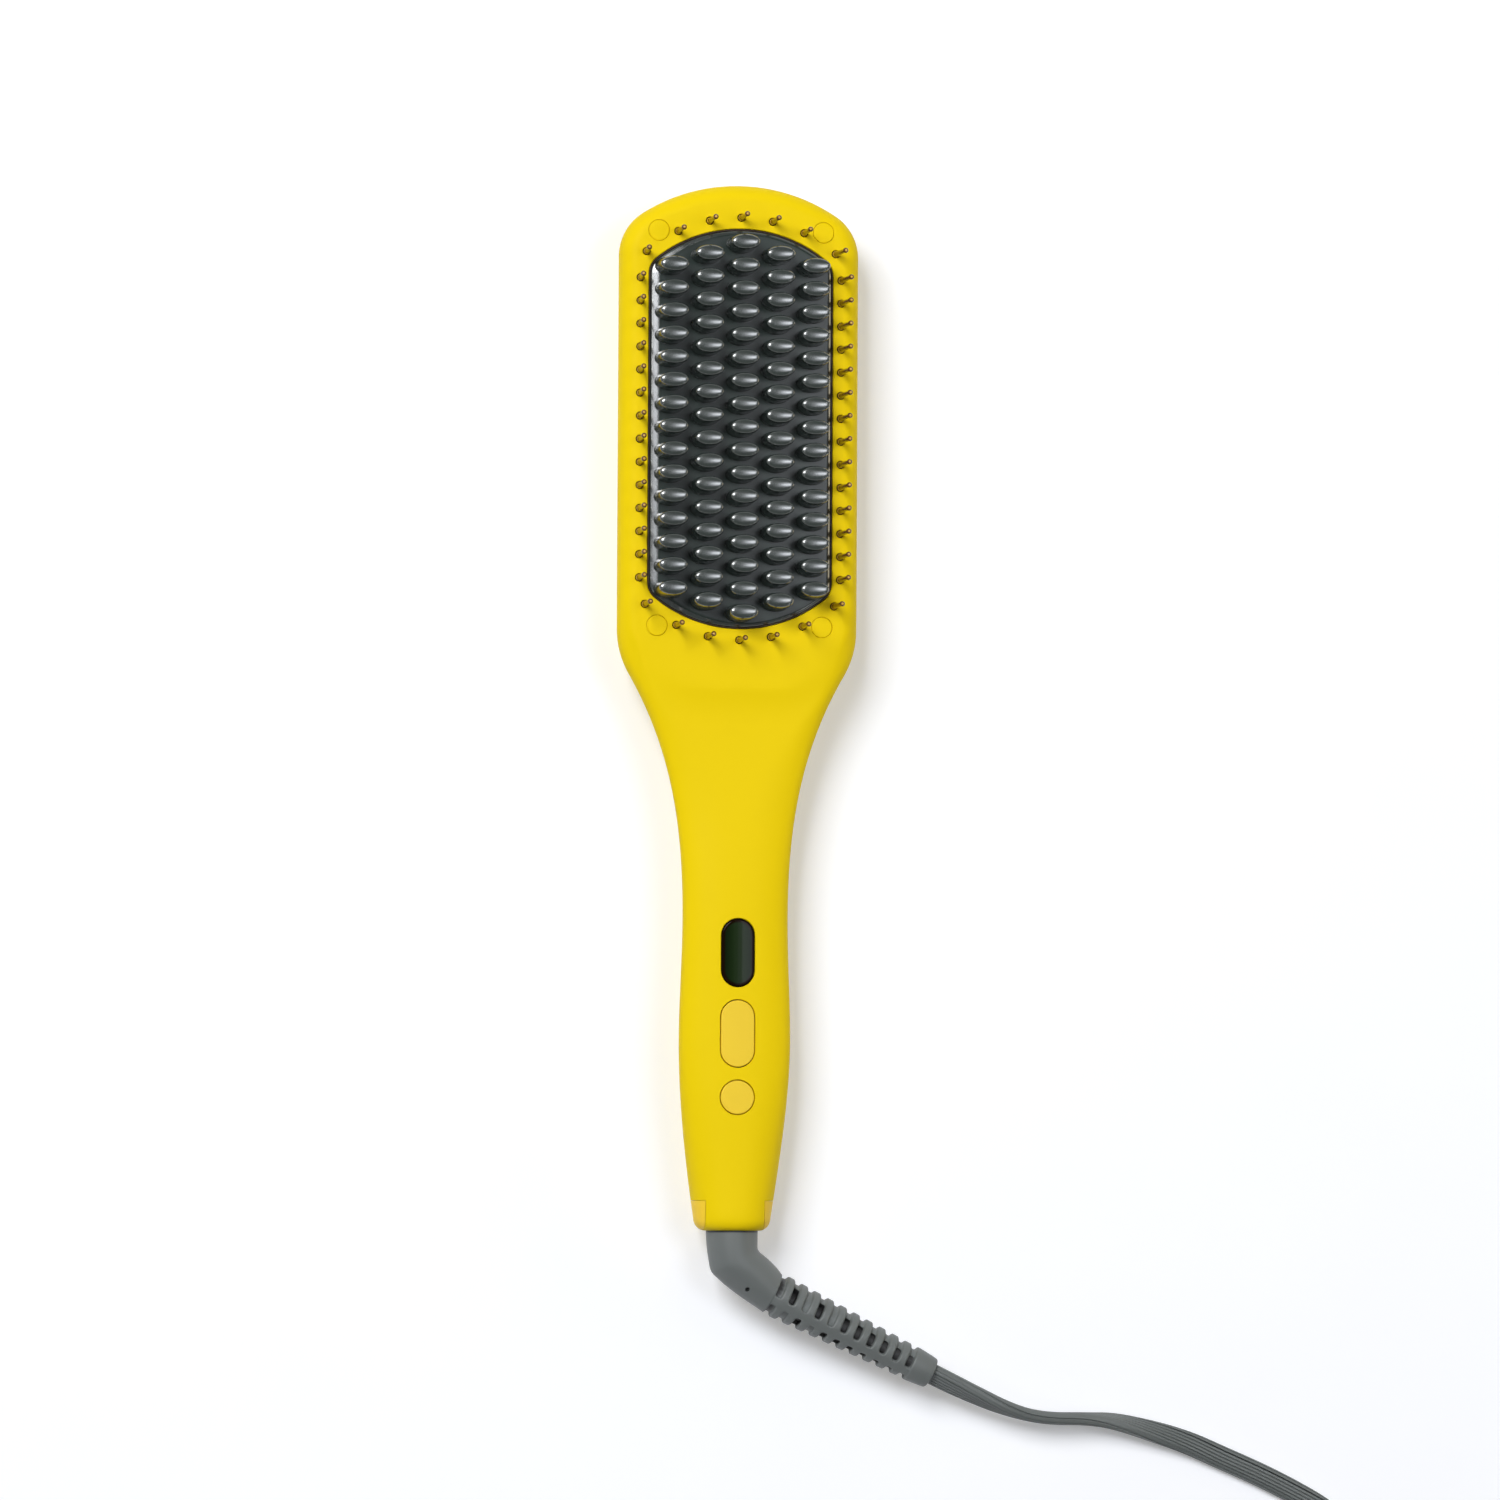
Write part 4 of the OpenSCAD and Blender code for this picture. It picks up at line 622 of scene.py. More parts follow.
def depth(x, y, side):
    """Depth of a half of the body under a point of its flat: side 1 is the front, -1 the back."""
    full = front_h(x, y) - part_h(y) if side > 0 else part_h(y) - back_h(y)
    return lerp(lip_r, full, tail_open(y))


def rim(y, reach, side):
    return lerp(FACE_RIM if side > 0 else BACK_RIM, reach, ease((y_crease - y) / RIM_BLEND_L))


def round_corner(side_x, end_r, corner_r, steps, grown=0):
    """From a straight side round a corner to the middle of a bowed end, about the bow's centre."""
    x = side_x - corner_r
    y = math.sqrt((end_r - corner_r) ** 2 - x ** 2)
    meet = math.degrees(math.atan2(y, x))
    r, big_r = corner_r + grown, end_r + grown
    points = [(x + r * c, y + r * s) for c, s in map(turn, spread(0, meet, steps[0]))]
    return points + [(big_r * c, big_r * s) for c, s in map(turn, spread(meet, 90, steps[1]) + [90])]


def both_sides(right):
    """A line from the right side to the middle, and on to the left side."""
    return right + [(-x, y) for x, y in reversed(right[:-1])]


def right_side():
    """The outline's right side, from the tail's end to the top of the head."""
    points = []
    for c, s in map(turn, spread(0, 90, 7)):
        points.append((lerp(lip_r, TAIL_W / 2, s), y_tail + TAIL_ROUND * (1 - c)))
    for a, b, n in (
        (y_taper, y_grip, 22), (y_grip, y_neck, 14), (y_neck, y_drop, 22), (y_drop, y_shoulder, 12)
    ):
        points += [(grip_x(y), y) for y in spread(a, b, n)]
    for c, s in map(turn, spread(SHOULDER_TURN, 0, 8)):
        points.append((HEAD_W / 2 - SHOULDER_R * (1 - c), y_head - SHOULDER_R * s))
    points += [(HEAD_W / 2, y) for y in spread(y_head, y_fan, 16)]
    for x, y in round_corner(HEAD_W / 2, HEAD_TOP_R, HEAD_CORNER_R, (14, 12)):
        points.append((x, y_top - HEAD_TOP_R + y))
    return points


outline = [Vector(p) for p in both_sides(right_side())]
last_row = len(outline) - 1
fan_row = next(i for i, p in enumerate(outline) if p.y >= y_fan - 1e-6)
RIM_STEPS, FLAT_STEPS, INNER_STEPS = 12, 6, 6
# The seam between the shells, stepped in and apart, and where the rounded rim begins, in degrees
SEAM_IN, SEAM_GAP, RIM_START = 0.22, 0.03, 2.2
# Shares: the most that the rim takes of the way to the spine, and the wall's least at the tail's end
RIM_SHARE, WALL_LEAST = 0.94, 0.25


def spine_index(k):
    return min(k, last_row - k, fan_row)


def shell_row(k, side, inset):
    """Points from the outline to beside the spine, over the rounded rim and the flat, and the spine's own."""
    here, before, after = outline[k], outline[max(k - 1, 0)], outline[min(k + 1, last_row)]
    outward = Vector((after.y - before.y, before.x - after.x)).normalized()
    p = here - outward * inset
    fanned = spine_index(k) == fan_row
    s = Vector((0, y_fan if fanned else p.y))
    reach = (p - s).dot(outward) if fanned else abs(p.x)
    edge = min(RIM_SHARE * reach, rim(here.y, reach, side) - inset)
    base = part_h(here.y)
    thin = inset * max(WALL_LEAST, tail_open(here.y))

    def raised(q, up):
        high = depth(q.x, max(q.y, y_level) if fanned else here.y, side)
        return Vector((*q, base + side * (high - thin) * up))

    if inset:
        row = []
        angles = [90 * i / INNER_STEPS for i in range(INNER_STEPS + 1)]
    else:
        row = [Vector((*(p + (s - p) * SEAM_IN / reach), base + side * SEAM_GAP))]
        angles = [RIM_START] + [90 * i / RIM_STEPS for i in range(1, RIM_STEPS + 1)]
    for c, up in map(turn, angles):
        row.append(raised(p + (s - p) * edge * (1 - c) / reach, up))
    if not inset:
        rim_end = row[-1].xy
        row += [raised(rim_end.lerp(s, i / FLAT_STEPS), 1) for i in range(1, FLAT_STEPS)]
    return row, Vector((*s, base + side * (depth(0, s.y, side) - thin)))


def half_skin(shape, side, inset):
    """Adds one skin of a half and returns the indices of its rows, each ending at the spine."""
    rows, spines = [], {}
    for k in range(last_row + 1):
        row, spine = shell_row(k, side, inset)
        base = len(shape.points)
        shape.points += row
        indices = list(range(base, base + len(row)))
        key = spine_index(k)
        if key not in spines:
            spines[key] = len(shape.points)
            shape.points.append(spine)
        rows.append(indices + [spines[key]])
    for a, b in zip(rows, rows[1:]):
        for j in range(len(a) - 1):
            shape.faces.append(tuple(dict.fromkeys((a[j], a[j + 1], b[j + 1], b[j]))))
    return rows


def tail_seam(shape, a, b):
    """Faces between the outer and the inner skin's rows at the tail, which run inwards to the spine."""
    i = j = 0
    while i + 1 < len(a) or j + 1 < len(b):
        far = [abs(shape.points[row[k + 1]].x) if k + 1 < len(row) else -1 for row, k in ((a, i), (b, j))]
        if far[0] >= far[1]:
            shape.faces.append((a[i], a[i + 1], b[j]))
            i += 1
        else:
            shape.faces.append((a[i], b[j + 1], b[j]))
            j += 1


def shell_shape(side):
    shape = Shape()
    outer, inner = (half_skin(shape, side, inset) for inset in (0, WALL))
    for k in range(last_row):
        shape.faces.append((outer[k][0], outer[k + 1][0], inner[k + 1][0], inner[k][0]))
    for k in (0, last_row):
        tail_seam(shape, outer[k], inner[k])
    return shape


# Cutters
def plate_quarter(g):
    corner = round_corner(PLATE_W / 2, PLATE_END_R, PLATE_CORNER_R, (8, 14), g)
    return [(x, plate_arc_y + y) for x, y in corner]


def plate_ring(g, z):
    top = both_sides(plate_quarter(g))
    return [Vector((x, plate_y + y, z)) for x, y in top + [(-x, -y) for x, y in top]]


def stadium_ring(w, l, y, heights):
    """A flat bar's outline round (0, y). heights gives each point's height from its x and y."""
    loop = []
    for end, start in ((1, 0), (-1, 180)):
        for c, s in map(turn, spread(start, start + 180, 16) + [start + 180]):
            px, py = w / 2 * c, y + end * (l - w) / 2 + w / 2 * s
            loop.append(Vector((px, py, heights(px, py))))
    return loop


front_skin, rear_skin = Shape(), Shape()
half_skin(front_skin, 1, 0)
half_skin(rear_skin, -1, 0)
front_tree = BVHTree.FromPolygons(front_skin.points, front_skin.faces)


def front_z(x, y):
    """Height of the front shell's outer skin at a place inside its outline."""
    return front_tree.ray_cast(Vector((x, y, 60)), Vector((0, 0, -1)))[0].z


# A cutter's rounded lip in degrees round from upright, and how far the cutter stands over the skin
LIP_ANGLES, CUT_ABOVE = (28, 52, 72), 3


def lipped(shape, ring, below, lip):
    """A cutter with a rounded lip. ring(g, lift) gives its outline grown by g at lift from the skin."""
    rings = [ring(0, -below), ring(0, -lip)]
    for c, s in map(turn, LIP_ANGLES):
        rings.append(ring(lip * (1 - c), -lip * (1 - s)))
    for lift in (0.25 * lip, CUT_ABOVE):
        rings.append(ring(lip * (1.5 - c), lift))
    for end, level in ((0, min), (-1, max)):
        height = level(p.z for p in rings[end])
        rings[end] = [Vector((p.x, p.y, height)) for p in rings[end]]
    return shape.skin(rings)


pin_end_r = PLATE_END_R + PIN_END_GAP
pin_sites = [
    Vector((s * (PLATE_W / 2 + PIN_SIDE_GAP), plate_y + (i - (TOOTH_ROWS - 4) / 2) * TOOTH_ROW_PITCH))
    for s in (-1, 1) for i in range(TOOTH_ROWS - 3)
]
for s in (-1, 1):
    for x in (i * PIN_END_PITCH for i in range(-3, 4)):
        pin_sites.append(Vector((x, plate_y + s * (plate_arc_y + math.sqrt(pin_end_r ** 2 - x ** 2)))))
cover_sites = [
    Vector((sx * (PLATE_W / 2 - COVER_INSET), plate_y + sy * PLATE_L / 2))
    for sx in (-1, 1) for sy in (-1, 1)
]


def round_ring(site, r, z, sides):
    return [Vector((site.x + r * c, site.y + r * s, z)) for c, s in circle(sides)]


def skin_ring(site, r, lift):
    """A ring that follows the rounded skin of the face."""
    return [Vector((p.x, p.y, front_z(p.x, p.y) + lift)) for p in round_ring(site, r, 0, 40)]


def face_cutter():
    cutter = Shape()
    lipped(cutter, lambda g, lift: plate_ring(WINDOW_GAP + g, FACE_Z + lift), WALL + 1, 0.3)
    r = PIN_BASE_R + PIN_GAP
    for site in pin_sites:
        lipped(cutter, lambda g, lift: round_ring(site, r + g, FACE_Z + lift, 16), WALL + 1, 0.18)
    for site in cover_sites:
        lipped(cutter, lambda g, lift: skin_ring(site, COVER_R + COVER_GAP + g, lift), 1.65, 0.1)
    return cutter


def grip_cutters():
    for y, length, gap, lip in (
        (display_y, DISPLAY_L, 0.1, 0.3), (rocker_y, ROCKER_L, BUTTON_GAP, 0.14),
        (power_y, BUTTON_W, BUTTON_GAP, 0.14),
    ):
        def opening(g, lift):
            over = 2 * (gap + g)
            return stadium_ring(BUTTON_W + over, length + over, y, lambda px, py: front_z(px, py) + lift)
        yield lipped(Shape(), opening, WALL + 2, lip)


TONGUE_W, CHEEK_L, CHEEK_GAP, COLLAR_R, COLLAR_FROM = 16.4, 8.2, 0.1, 8.5, 3
into_tail = rotated(-90, "X")
tail_axis = moved(0, y_tail, SWIVEL_Z) @ into_tail


def block(low, high):
    """A box's two rings, from its low corner to its high one."""
    (x0, y0, z0), (x1, y1, z1) = low, high
    return [[(x, y, z) for x, y in ((x0, y0), (x1, y0), (x1, y1), (x0, y1))] for z in (z0, z1)]


def side_blocks(inner_x, length):
    """Two boxes, one on either side, which reach past the tail all round."""
    shape = Shape()
    for s in (-1, 1):
        near, far = sorted((s * inner_x, s * 40))
        shape.skin(block((near, y_tail - 10, -20), (far, y_tail + length, 50)))
    return shape


def gland_cutter():
    r, big, top = GLAND_R + 0.15, COLLAR_R + 0.12, CHEEK_L + 1
    profile = [(r, -2), (r, COLLAR_FROM), (big, COLLAR_FROM), (big, top), (r, top), (r, 30)]
    return Shape().lathe(profile, 64, tail_axis)


# A face that lies within this gap of the skin, and faces the same way to this cosine, is a part of it
ON_SKIN, ALIKE = 0.02, 0.97


def skin_normals(made, skin):
    """Gives what is left of an uncut skin that skin's own smooth shading, so cuts leave no dents in it."""
    whole = skin.mesh("skin")
    whole.shade_smooth()
    spots = [v.co for v in whole.vertices]
    tree = BVHTree.FromPolygons(spots, [p.vertices for p in whole.polygons])
    mesh = made.data
    normals = [Vector(n.vector) for n in mesh.corner_normals]
    for face in mesh.polygons:
        spot, facing, index, gap = tree.find_nearest(face.center)
        sense = facing.dot(face.normal)
        if gap > ON_SKIN * MM or abs(sense) < ALIKE:
            continue
        for corner in face.loop_indices:
            place = mesh.vertices[mesh.loops[corner].vertex_index].co
            spot, facing, index, gap = tree.find_nearest(place)
            near = whole.polygons[index].vertices
            weights = poly_3d_calc([spots[v] for v in near], spot)
            normal = sum((whole.vertices[v].normal * w for v, w in zip(near, weights)), Vector())
            normals[corner] = normal.normalized() * (1 if sense > 0 else -1)
    mesh.normals_split_custom_set(normals)
    bpy.data.meshes.remove(whole)


def make_shells():
    for name, node, side, skin in (
        ("front_cover", "front_shell", 1, front_skin), ("rear_cover", "rear_shell", -1, rear_skin)
    ):
        cover = shell_shape(side).object(name)
        for cutter in (side_blocks(TONGUE_W / 2, CHEEK_L + CHEEK_GAP), gland_cutter()):
            carve(cover, cutter)
        if side > 0:
            for cutter in (face_cutter(), *grip_cutters()):
                carve(cover, cutter)
        make_piece(name, cover, shell_yellow, (node,))
        skin_normals(cover, skin)


def make_covers():
    shape = Shape()
    profile = [
        (COVER_R, -1.5), (COVER_R, -0.14), (COVER_R - 0.03, -0.08), (COVER_R - 0.1, -0.03),
        (COVER_R - 0.25, 0), (COVER_R * 0.7, 0), (COVER_R * 0.4, 0), (COVER_R * 0.1, 0),
    ]
    for site in cover_sites:
        shape.skin([skin_ring(site, r, lift) for r, lift in profile])
    make_piece("screw_plugs", shape, shell_yellow, ("screw_covers",))


def tail_ring(y):
    x = lerp(lip_r, TAIL_W / 2, tail_open(y)) if y < y_taper else grip_x(y)
    ring = []
    for c, s in circle(64):
        across = x * (1 if s >= 0 else -1) * (1 - RIM_SHARE * (1 - abs(s)))
        ring.append((across, y, part_h(y) + depth(0, y, 1 if c >= 0 else -1) * c))
    return ring


def make_collar():
    """The two cheeks, cut from the body's own surface, on the ring round the gland."""
    levels = [y_tail + TAIL_ROUND * (1 - turn(a)[0]) for a in (8, 20, 32, 45, 60, 75)]
    levels += [lerp(y_taper, y_tail + CHEEK_L, i / 6) for i in range(7)]
    cheeks = Shape().skin([tail_ring(y) for y in levels]).object("tail_cheeks")
    carve(cheeks, side_blocks(TONGUE_W / 2 + CHEEK_GAP, 30), "INTERSECT")
    carve(cheeks, Shape().lathe([(GLAND_R + 0.15, -2), (GLAND_R + 0.15, 30)], 64, tail_axis))
    make_piece("tail_cheeks", cheeks, collar_yellow, ("tail_collar",))
    inner, outer = GLAND_R + 0.16, COLLAR_R
    profile = [
        (GLAND_R + 0.3, COLLAR_FROM + 0.1), (outer, COLLAR_FROM + 0.4), (outer, CHEEK_L),
        (inner, CHEEK_L - 0.2), (inner, COLLAR_FROM + 0.2),
    ]
    ring = Shape().skin(
        [[tail_axis @ Vector((r * c, r * s, z)) for r, z in profile] for c, s in circle(64)], True
    )
    make_piece("tail_ring", ring, collar_yellow, ("tail_collar",))


# Heating plate
def rim_ring(inset, z):
    """A ring of the plate's rounded rim, which is broadest along the left side."""
    ring = []
    for p, q in zip(plate_ring(PLATE_OVER, z), plate_ring(PLATE_OVER - RIM_W, z)):
        broad = 0.4 + 0.6 * max(0, (q - p).normalized().x)
        ring.append(p + (q - p) * inset / RIM_W * broad)
    return ring


# The rim, how far the plate reaches past the CAD's under the seal, and a tooth's outline by height
RIM_W, PLATE_OVER = 3.2, 0.2
RIM_PROFILE = (
    (0, 0.95), (0.06, 0.72), (0.2, 0.55), (0.45, 0.44), (0.9, 0.33), (1.5, 0.2), (2.1, 0.08),
    (2.6, 0.02), (RIM_W, 0),
)
TOOTH_PROFILE = (
    (-0.03, 1, 1.02), (0, 0.97, 0.985), (0.03, 0.955, 0.965), (0.08, 0.948, 0.95),
    (0.16, 0.942, 0.93), (0.3, 0.936, 0.9), (0.5, 0.93, 0.865), (0.72, 0.92, 0.825),
    (0.86, 0.91, 0.8), (0.905, 0.9, 0.78), (0.932, 0.885, 0.75), (0.95, 0.865, 0.71),
    (0.965, 0.83, 0.64), (0.977, 0.77, 0.53), (0.986, 0.65, 0.42), (0.9926, 0.47, 0.3),
    (0.9976, 0.26, 0.17), (1, 0.09, 0.05),
)


def make_plate():
    """The plate with its flange and rounded rim, its teeth, and two bosses for the clamp's screws below."""
    top = FACE_Z + PLATE_PROUD
    flange_top = under_face_z - 0.9
    flange = ((1.2, flange_top - 1.2), (1.2, flange_top), (0, flange_top))
    shape = Shape().skin(
        [plate_ring(g, z) for g, z in flange] + [rim_ring(inset, top - drop) for inset, drop in RIM_PROFILE]
    )
    for col in range(-2, 3):
        count = TOOTH_ROWS - abs(col)
        for row in range(count):
            y = plate_y + (row - (count - 1) / 2) * TOOTH_ROW_PITCH
            root = Vector((col * TOOTH_COL_PITCH, y, top))
            shape.skin([
                [
                    root + Vector((TOOTH_L / 2 * long * c, TOOTH_W / 2 * wide * s, TOOTH_H * high))
                    for c, s in circle(24)
                ]
                for high, long, wide in TOOTH_PROFILE
            ])
    for s in (-1, 1):
        boss = moved(0, plate_y + s * (PLATE_L / 2 - 6.3), flange_top - 1.2)
        shape.lathe([(3, -1.7), (3, 0.2)], 32, boss)
    make_piece("glazed_plate", shape, plate_glaze, ("heat_plate",), edge=50)


def make_gasket():
    outer = WINDOW_GAP - 0.08
    profile = (
        (1.3, under_face_z - 0.85), (1.3, under_face_z - 0.05), (outer, under_face_z - 0.05),
        (outer, FACE_Z - 0.4), (outer - 0.06, FACE_Z - 0.24), (outer - 0.2, FACE_Z - 0.16),
        (0.38, FACE_Z - 0.16), (0.27, FACE_Z - 0.24), (0.24, FACE_Z - 0.4), (0.1, under_face_z - 0.85),
    )
    shape = Shape().skin([plate_ring(g, z) for g, z in profile], True)
    make_piece("plate_seal", shape, seal_brown, ("plate_gasket",))


def strip_edge(g, end):
    """Edge of the pins' upper strip, from its right end over the middle to its left end."""
    return both_sides([(PLATE_W / 2 + g, end)] + plate_quarter(g))


def leaning(site):
    """Where a pin stands, its tip a little out of line as the soft pins have settled."""
    up = (site.y - plate_y) / PLATE_L + 0.5
    x = y = 0
    if abs(site.x) > PLATE_W / 2:
        x = -0.95 * up if site.x < 0 else 0.5 + 0.6 * up
    elif up < 0.06 and abs(site.x) > 18:
        y = -1.1 if site.x < 0 else -1.8
    shear = Matrix()
    shear[0][2], shear[1][2] = x / PIN_H, y / PIN_H
    return moved(site.x, site.y, FACE_Z) @ shear @ moved(0, 0, -FACE_Z)


def make_pins():
    """Tapered pins with ball tips, each on a low foot, and the four strips that they stand on."""
    strip_top = under_face_z - 0.3
    strip_low = strip_top - 1.6
    shape = Shape()
    foot = FACE_Z + 0.15
    ball = FACE_Z + PIN_H - PIN_BALL_R
    profile = [
        (1.15, strip_low), (1.15, strip_top), (PIN_BASE_R, strip_top + 0.1), (PIN_BASE_R, foot - 0.5),
        (PIN_BASE_R - 0.04, foot - 0.2), (0.88, foot - 0.06), (0.8, foot), (0.76, foot + 0.5),
        (0.66, foot + 5), (0.52, ball - 1.2), (0.5, ball - 0.65),
    ]
    for c, s in map(turn, (-42, -25, 0, 25, 48, 68, 84)):
        profile.append((PIN_BALL_R * c, ball + PIN_BALL_R * s))
    for site in pin_sites:
        shape.lathe(profile, 16, leaning(site))
    near, far = 1.7, 4.3
    end = (TOOTH_ROWS - 4) / 2 * TOOTH_ROW_PITCH + 3
    curved = strip_edge(far, end + 0.2) + strip_edge(near, end + 0.2)[::-1]
    x0, x1, y1 = PLATE_W / 2 + near, PLATE_W / 2 + far, end - 0.2
    straight = [(x0, -y1), (x1, -y1), (x1, y1), (x0, y1)]
    for strip, sx, sy in ((curved, 1, 1), (curved, 1, -1), (straight, 1, 1), (straight, -1, 1)):
        shape.skin([[(sx * x, plate_y + sy * y, z) for x, y in strip] for z in (strip_low, strip_top)])
    make_piece("pin_row", shape, pin_amber, ("cool_pins",), edge=50)


# Lens and buttons
def crown_z(x, lift):
    return GRIP_Z + lift - crown_r + math.sqrt(crown_r ** 2 - x * x)


def button_cap(y, w, l, base_z, lift, edge):
    """A crowned cap with a rounded edge, closed below."""
    steps = [(edge * (1 - c), edge * (1 - s)) for c, s in map(turn, (0, 20, 40, 58, 74, 90))]
    steps += [(edge + (w / 2 - edge) * (1 - share), 0) for share in (0.85, 0.65, 0.45, 0.25, 0.08)]
    rings = [stadium_ring(w, l, y, lambda px, py: base_z)]
    for g, drop in steps:
        rings.append(stadium_ring(w - 2 * g, l - 2 * g, y, lambda px, py: crown_z(px, lift) - drop))
    return Shape().skin(rings)


def make_lens():
    flange_z = GRIP_Z - WALL - 1.1
    shape = button_cap(display_y, BUTTON_W, DISPLAY_L, flange_z + 0.3, -0.1, 0.55)
    shape.skin([
        stadium_ring(BUTTON_W + 1.8, DISPLAY_L + 1.8, display_y, lambda px, py: z)
        for z in (flange_z, flange_z + 0.6)
    ])
    make_piece("display_window", shape, lens_dark, ("display_lens",))


def make_rocker():
    """The long cap, with the bar, the two pivots and the two feet for the switches under it."""
    cap_z, pivot_z, foot_z = GRIP_Z - 3, 20.8, 20.4
    half_w = BUTTON_W / 2
    shape = button_cap(rocker_y, BUTTON_W, ROCKER_L, cap_z, 0.1, 0.22)
    shape.skin(block(
        (0.3 - half_w, rocker_y - 1.2, pivot_z - 0.8), (half_w - 0.3, rocker_y + 1.2, cap_z + 0.1)
    ))
    for s in (-1, 1):
        pivot = moved(s * (half_w - 1.2), rocker_y, pivot_z) @ rotated(s * 90, "Y")
        shape.lathe([(0.8, 0), (0.8, 2.8), (0.7, 2.9)], 24, pivot)
        foot = [(0.6, 0), (0.9, 0.2), (0.9, cap_z + 0.1 - foot_z)]
        shape.lathe(foot, 24, moved(0, rocker_y + s * 5, foot_z))
    make_piece("rocker_cap", shape, accent_yellow, ("rocker_button",), "rocker")


def make_power():
    flange_z = GRIP_Z - WALL - 1.5
    flange_r = BUTTON_W / 2 + 0.95
    shape = button_cap(power_y, BUTTON_W, BUTTON_W, flange_z + 0.4, 0, 0.22)
    profile = [(2.6, 20.4), (2.6, flange_z), (flange_r, flange_z), (flange_r, flange_z + 0.8)]
    shape.lathe(profile, 40, moved(0, power_y, 0))
    make_piece("power_cap", shape, accent_yellow, ("power_button",), "power")


# Swivel elbow
def elbow_ring(centre, across, half, half_z):
    """An oval ring in the swivel's frame: half wide along across, half_z high."""
    return [
        swivel_frame @ (centre + across * (half * c) + Vector((0, 0, half_z * s))) for c, s in circle(48)
    ]


# Left and right edges of the elbow as it lies: x, and the distance back from the tail
ELBOW_LEFT = (
    (-7.2, 0), (-7.1, 2.4), (-6.95, 4.4), (-6.7, 6.2), (-6.42, 8), (-6.13, 9.6), (-5.9, 10.6), (-5.5, 11.5),
    (-4.85, 12.25), (-3.6, 13.4), (-1.9, 14.9), (0.6, 16.8), (3.6, 18.9), (6.4, 20.7), (8.8, 22.3),
)
ELBOW_RIGHT = (
    (7.2, 0), (7.2, 1.9), (7.18, 3.3), (7.16, 4.2), (7.18, 4.7), (7.25, 5), (7.4, 5.3), (7.6, 5.6),
    (7.9, 5.95), (8.5, 6.45), (9.3, 7.05), (10.2, 7.8), (11.4, 8.9), (12.8, 10.3), (13.98, 11.8),
)


def elbow_finish():
    """The cord's grey, with painted shade where the elbow enters the tail."""
    finish = cord_rubber("elbow_grey")
    y = finish.axes(finish.place())[1]
    # Painted shade: the elbow darkened next to the tail's end, where the tail shadows it
    painted_tail_shadow = (-y).below(-(y_tail - 0.7) * MM, 0.4 * MM)
    finish.set(base_color=finish.mix(finish.plain, linear(34, 34, 32), painted_tail_shadow))
    return finish


def make_elbow():
    """The elbow with its grooved stem in the tail and its small blind hole."""
    rings = [elbow_ring(Vector((0, s, 0)), Vector((1, 0, 0)), GLAND_R, GLAND_R) for s in (8.2, 0.4)]
    for i, edges in enumerate(zip(ELBOW_LEFT, ELBOW_RIGHT)):
        a, b = (Vector((x, -back, 0)) for x, back in edges)
        half = (b - a).length / 2
        half_z = lerp(GLAND_R, half, ease((i - 7) / 7))
        rings.append(elbow_ring((a + b) / 2, (b - a).normalized(), half, half_z))
    shape = Shape().skin(rings)
    groove_r = 4.2
    stem = [
        (STEM_R, 8), (STEM_R, 16.3), (groove_r, 16.3), (groove_r, 17.2), (STEM_R, 17.2), (3.6, 17.5),
        (3.6, 29.4),
    ]
    shape.lathe(stem, 40, swivel_frame @ into_tail)
    elbow = shape.object("elbow")
    hole = swivel_frame @ Matrix.Translation(bend_place + Vector((3.5, -6.5, 3)))
    carve(elbow, Shape().lathe([(0.62, 0), (0.62, 6)], 24, hole))
    make_piece("elbow", elbow, elbow_finish(), ("swivel_elbow",), "swivel", 42)


# Strain relief
ribbed_l = BOOT_L - BOOT_COLLAR_L
# Slots with a raised floor, counted from the elbow, on the upper and on the lower side
RAISED = ((0, 2, 4), (0, 1, 3))
BRIDGE_DROP, RAISED_DEPTH, DEEPER, SLOT_ROUND = 0.95, 0.9, 0.5, 0.7
# A slot's edge dips softly over a width and then falls as a wall
EDGE_DIP, EDGE_W, SLOT_WALL = 0.14, 0.4, 0.06


def slot_depth(off, edge_gap):
    """1 on a slot's floor, 0 on the ribs, spines and bridges, with rounded edges between."""
    u = off - (SLOT_W / 2 - SLOT_ROUND)
    v = SLOT_ROUND - edge_gap
    gap = math.hypot(max(u, 0), max(v, 0)) + min(max(u, v), 0) - SLOT_ROUND
    if gap > 0:
        return EDGE_DIP * max(0, 1 - gap / EDGE_W) ** 2
    return lerp(EDGE_DIP, 1, min(-gap / SLOT_WALL, 1))


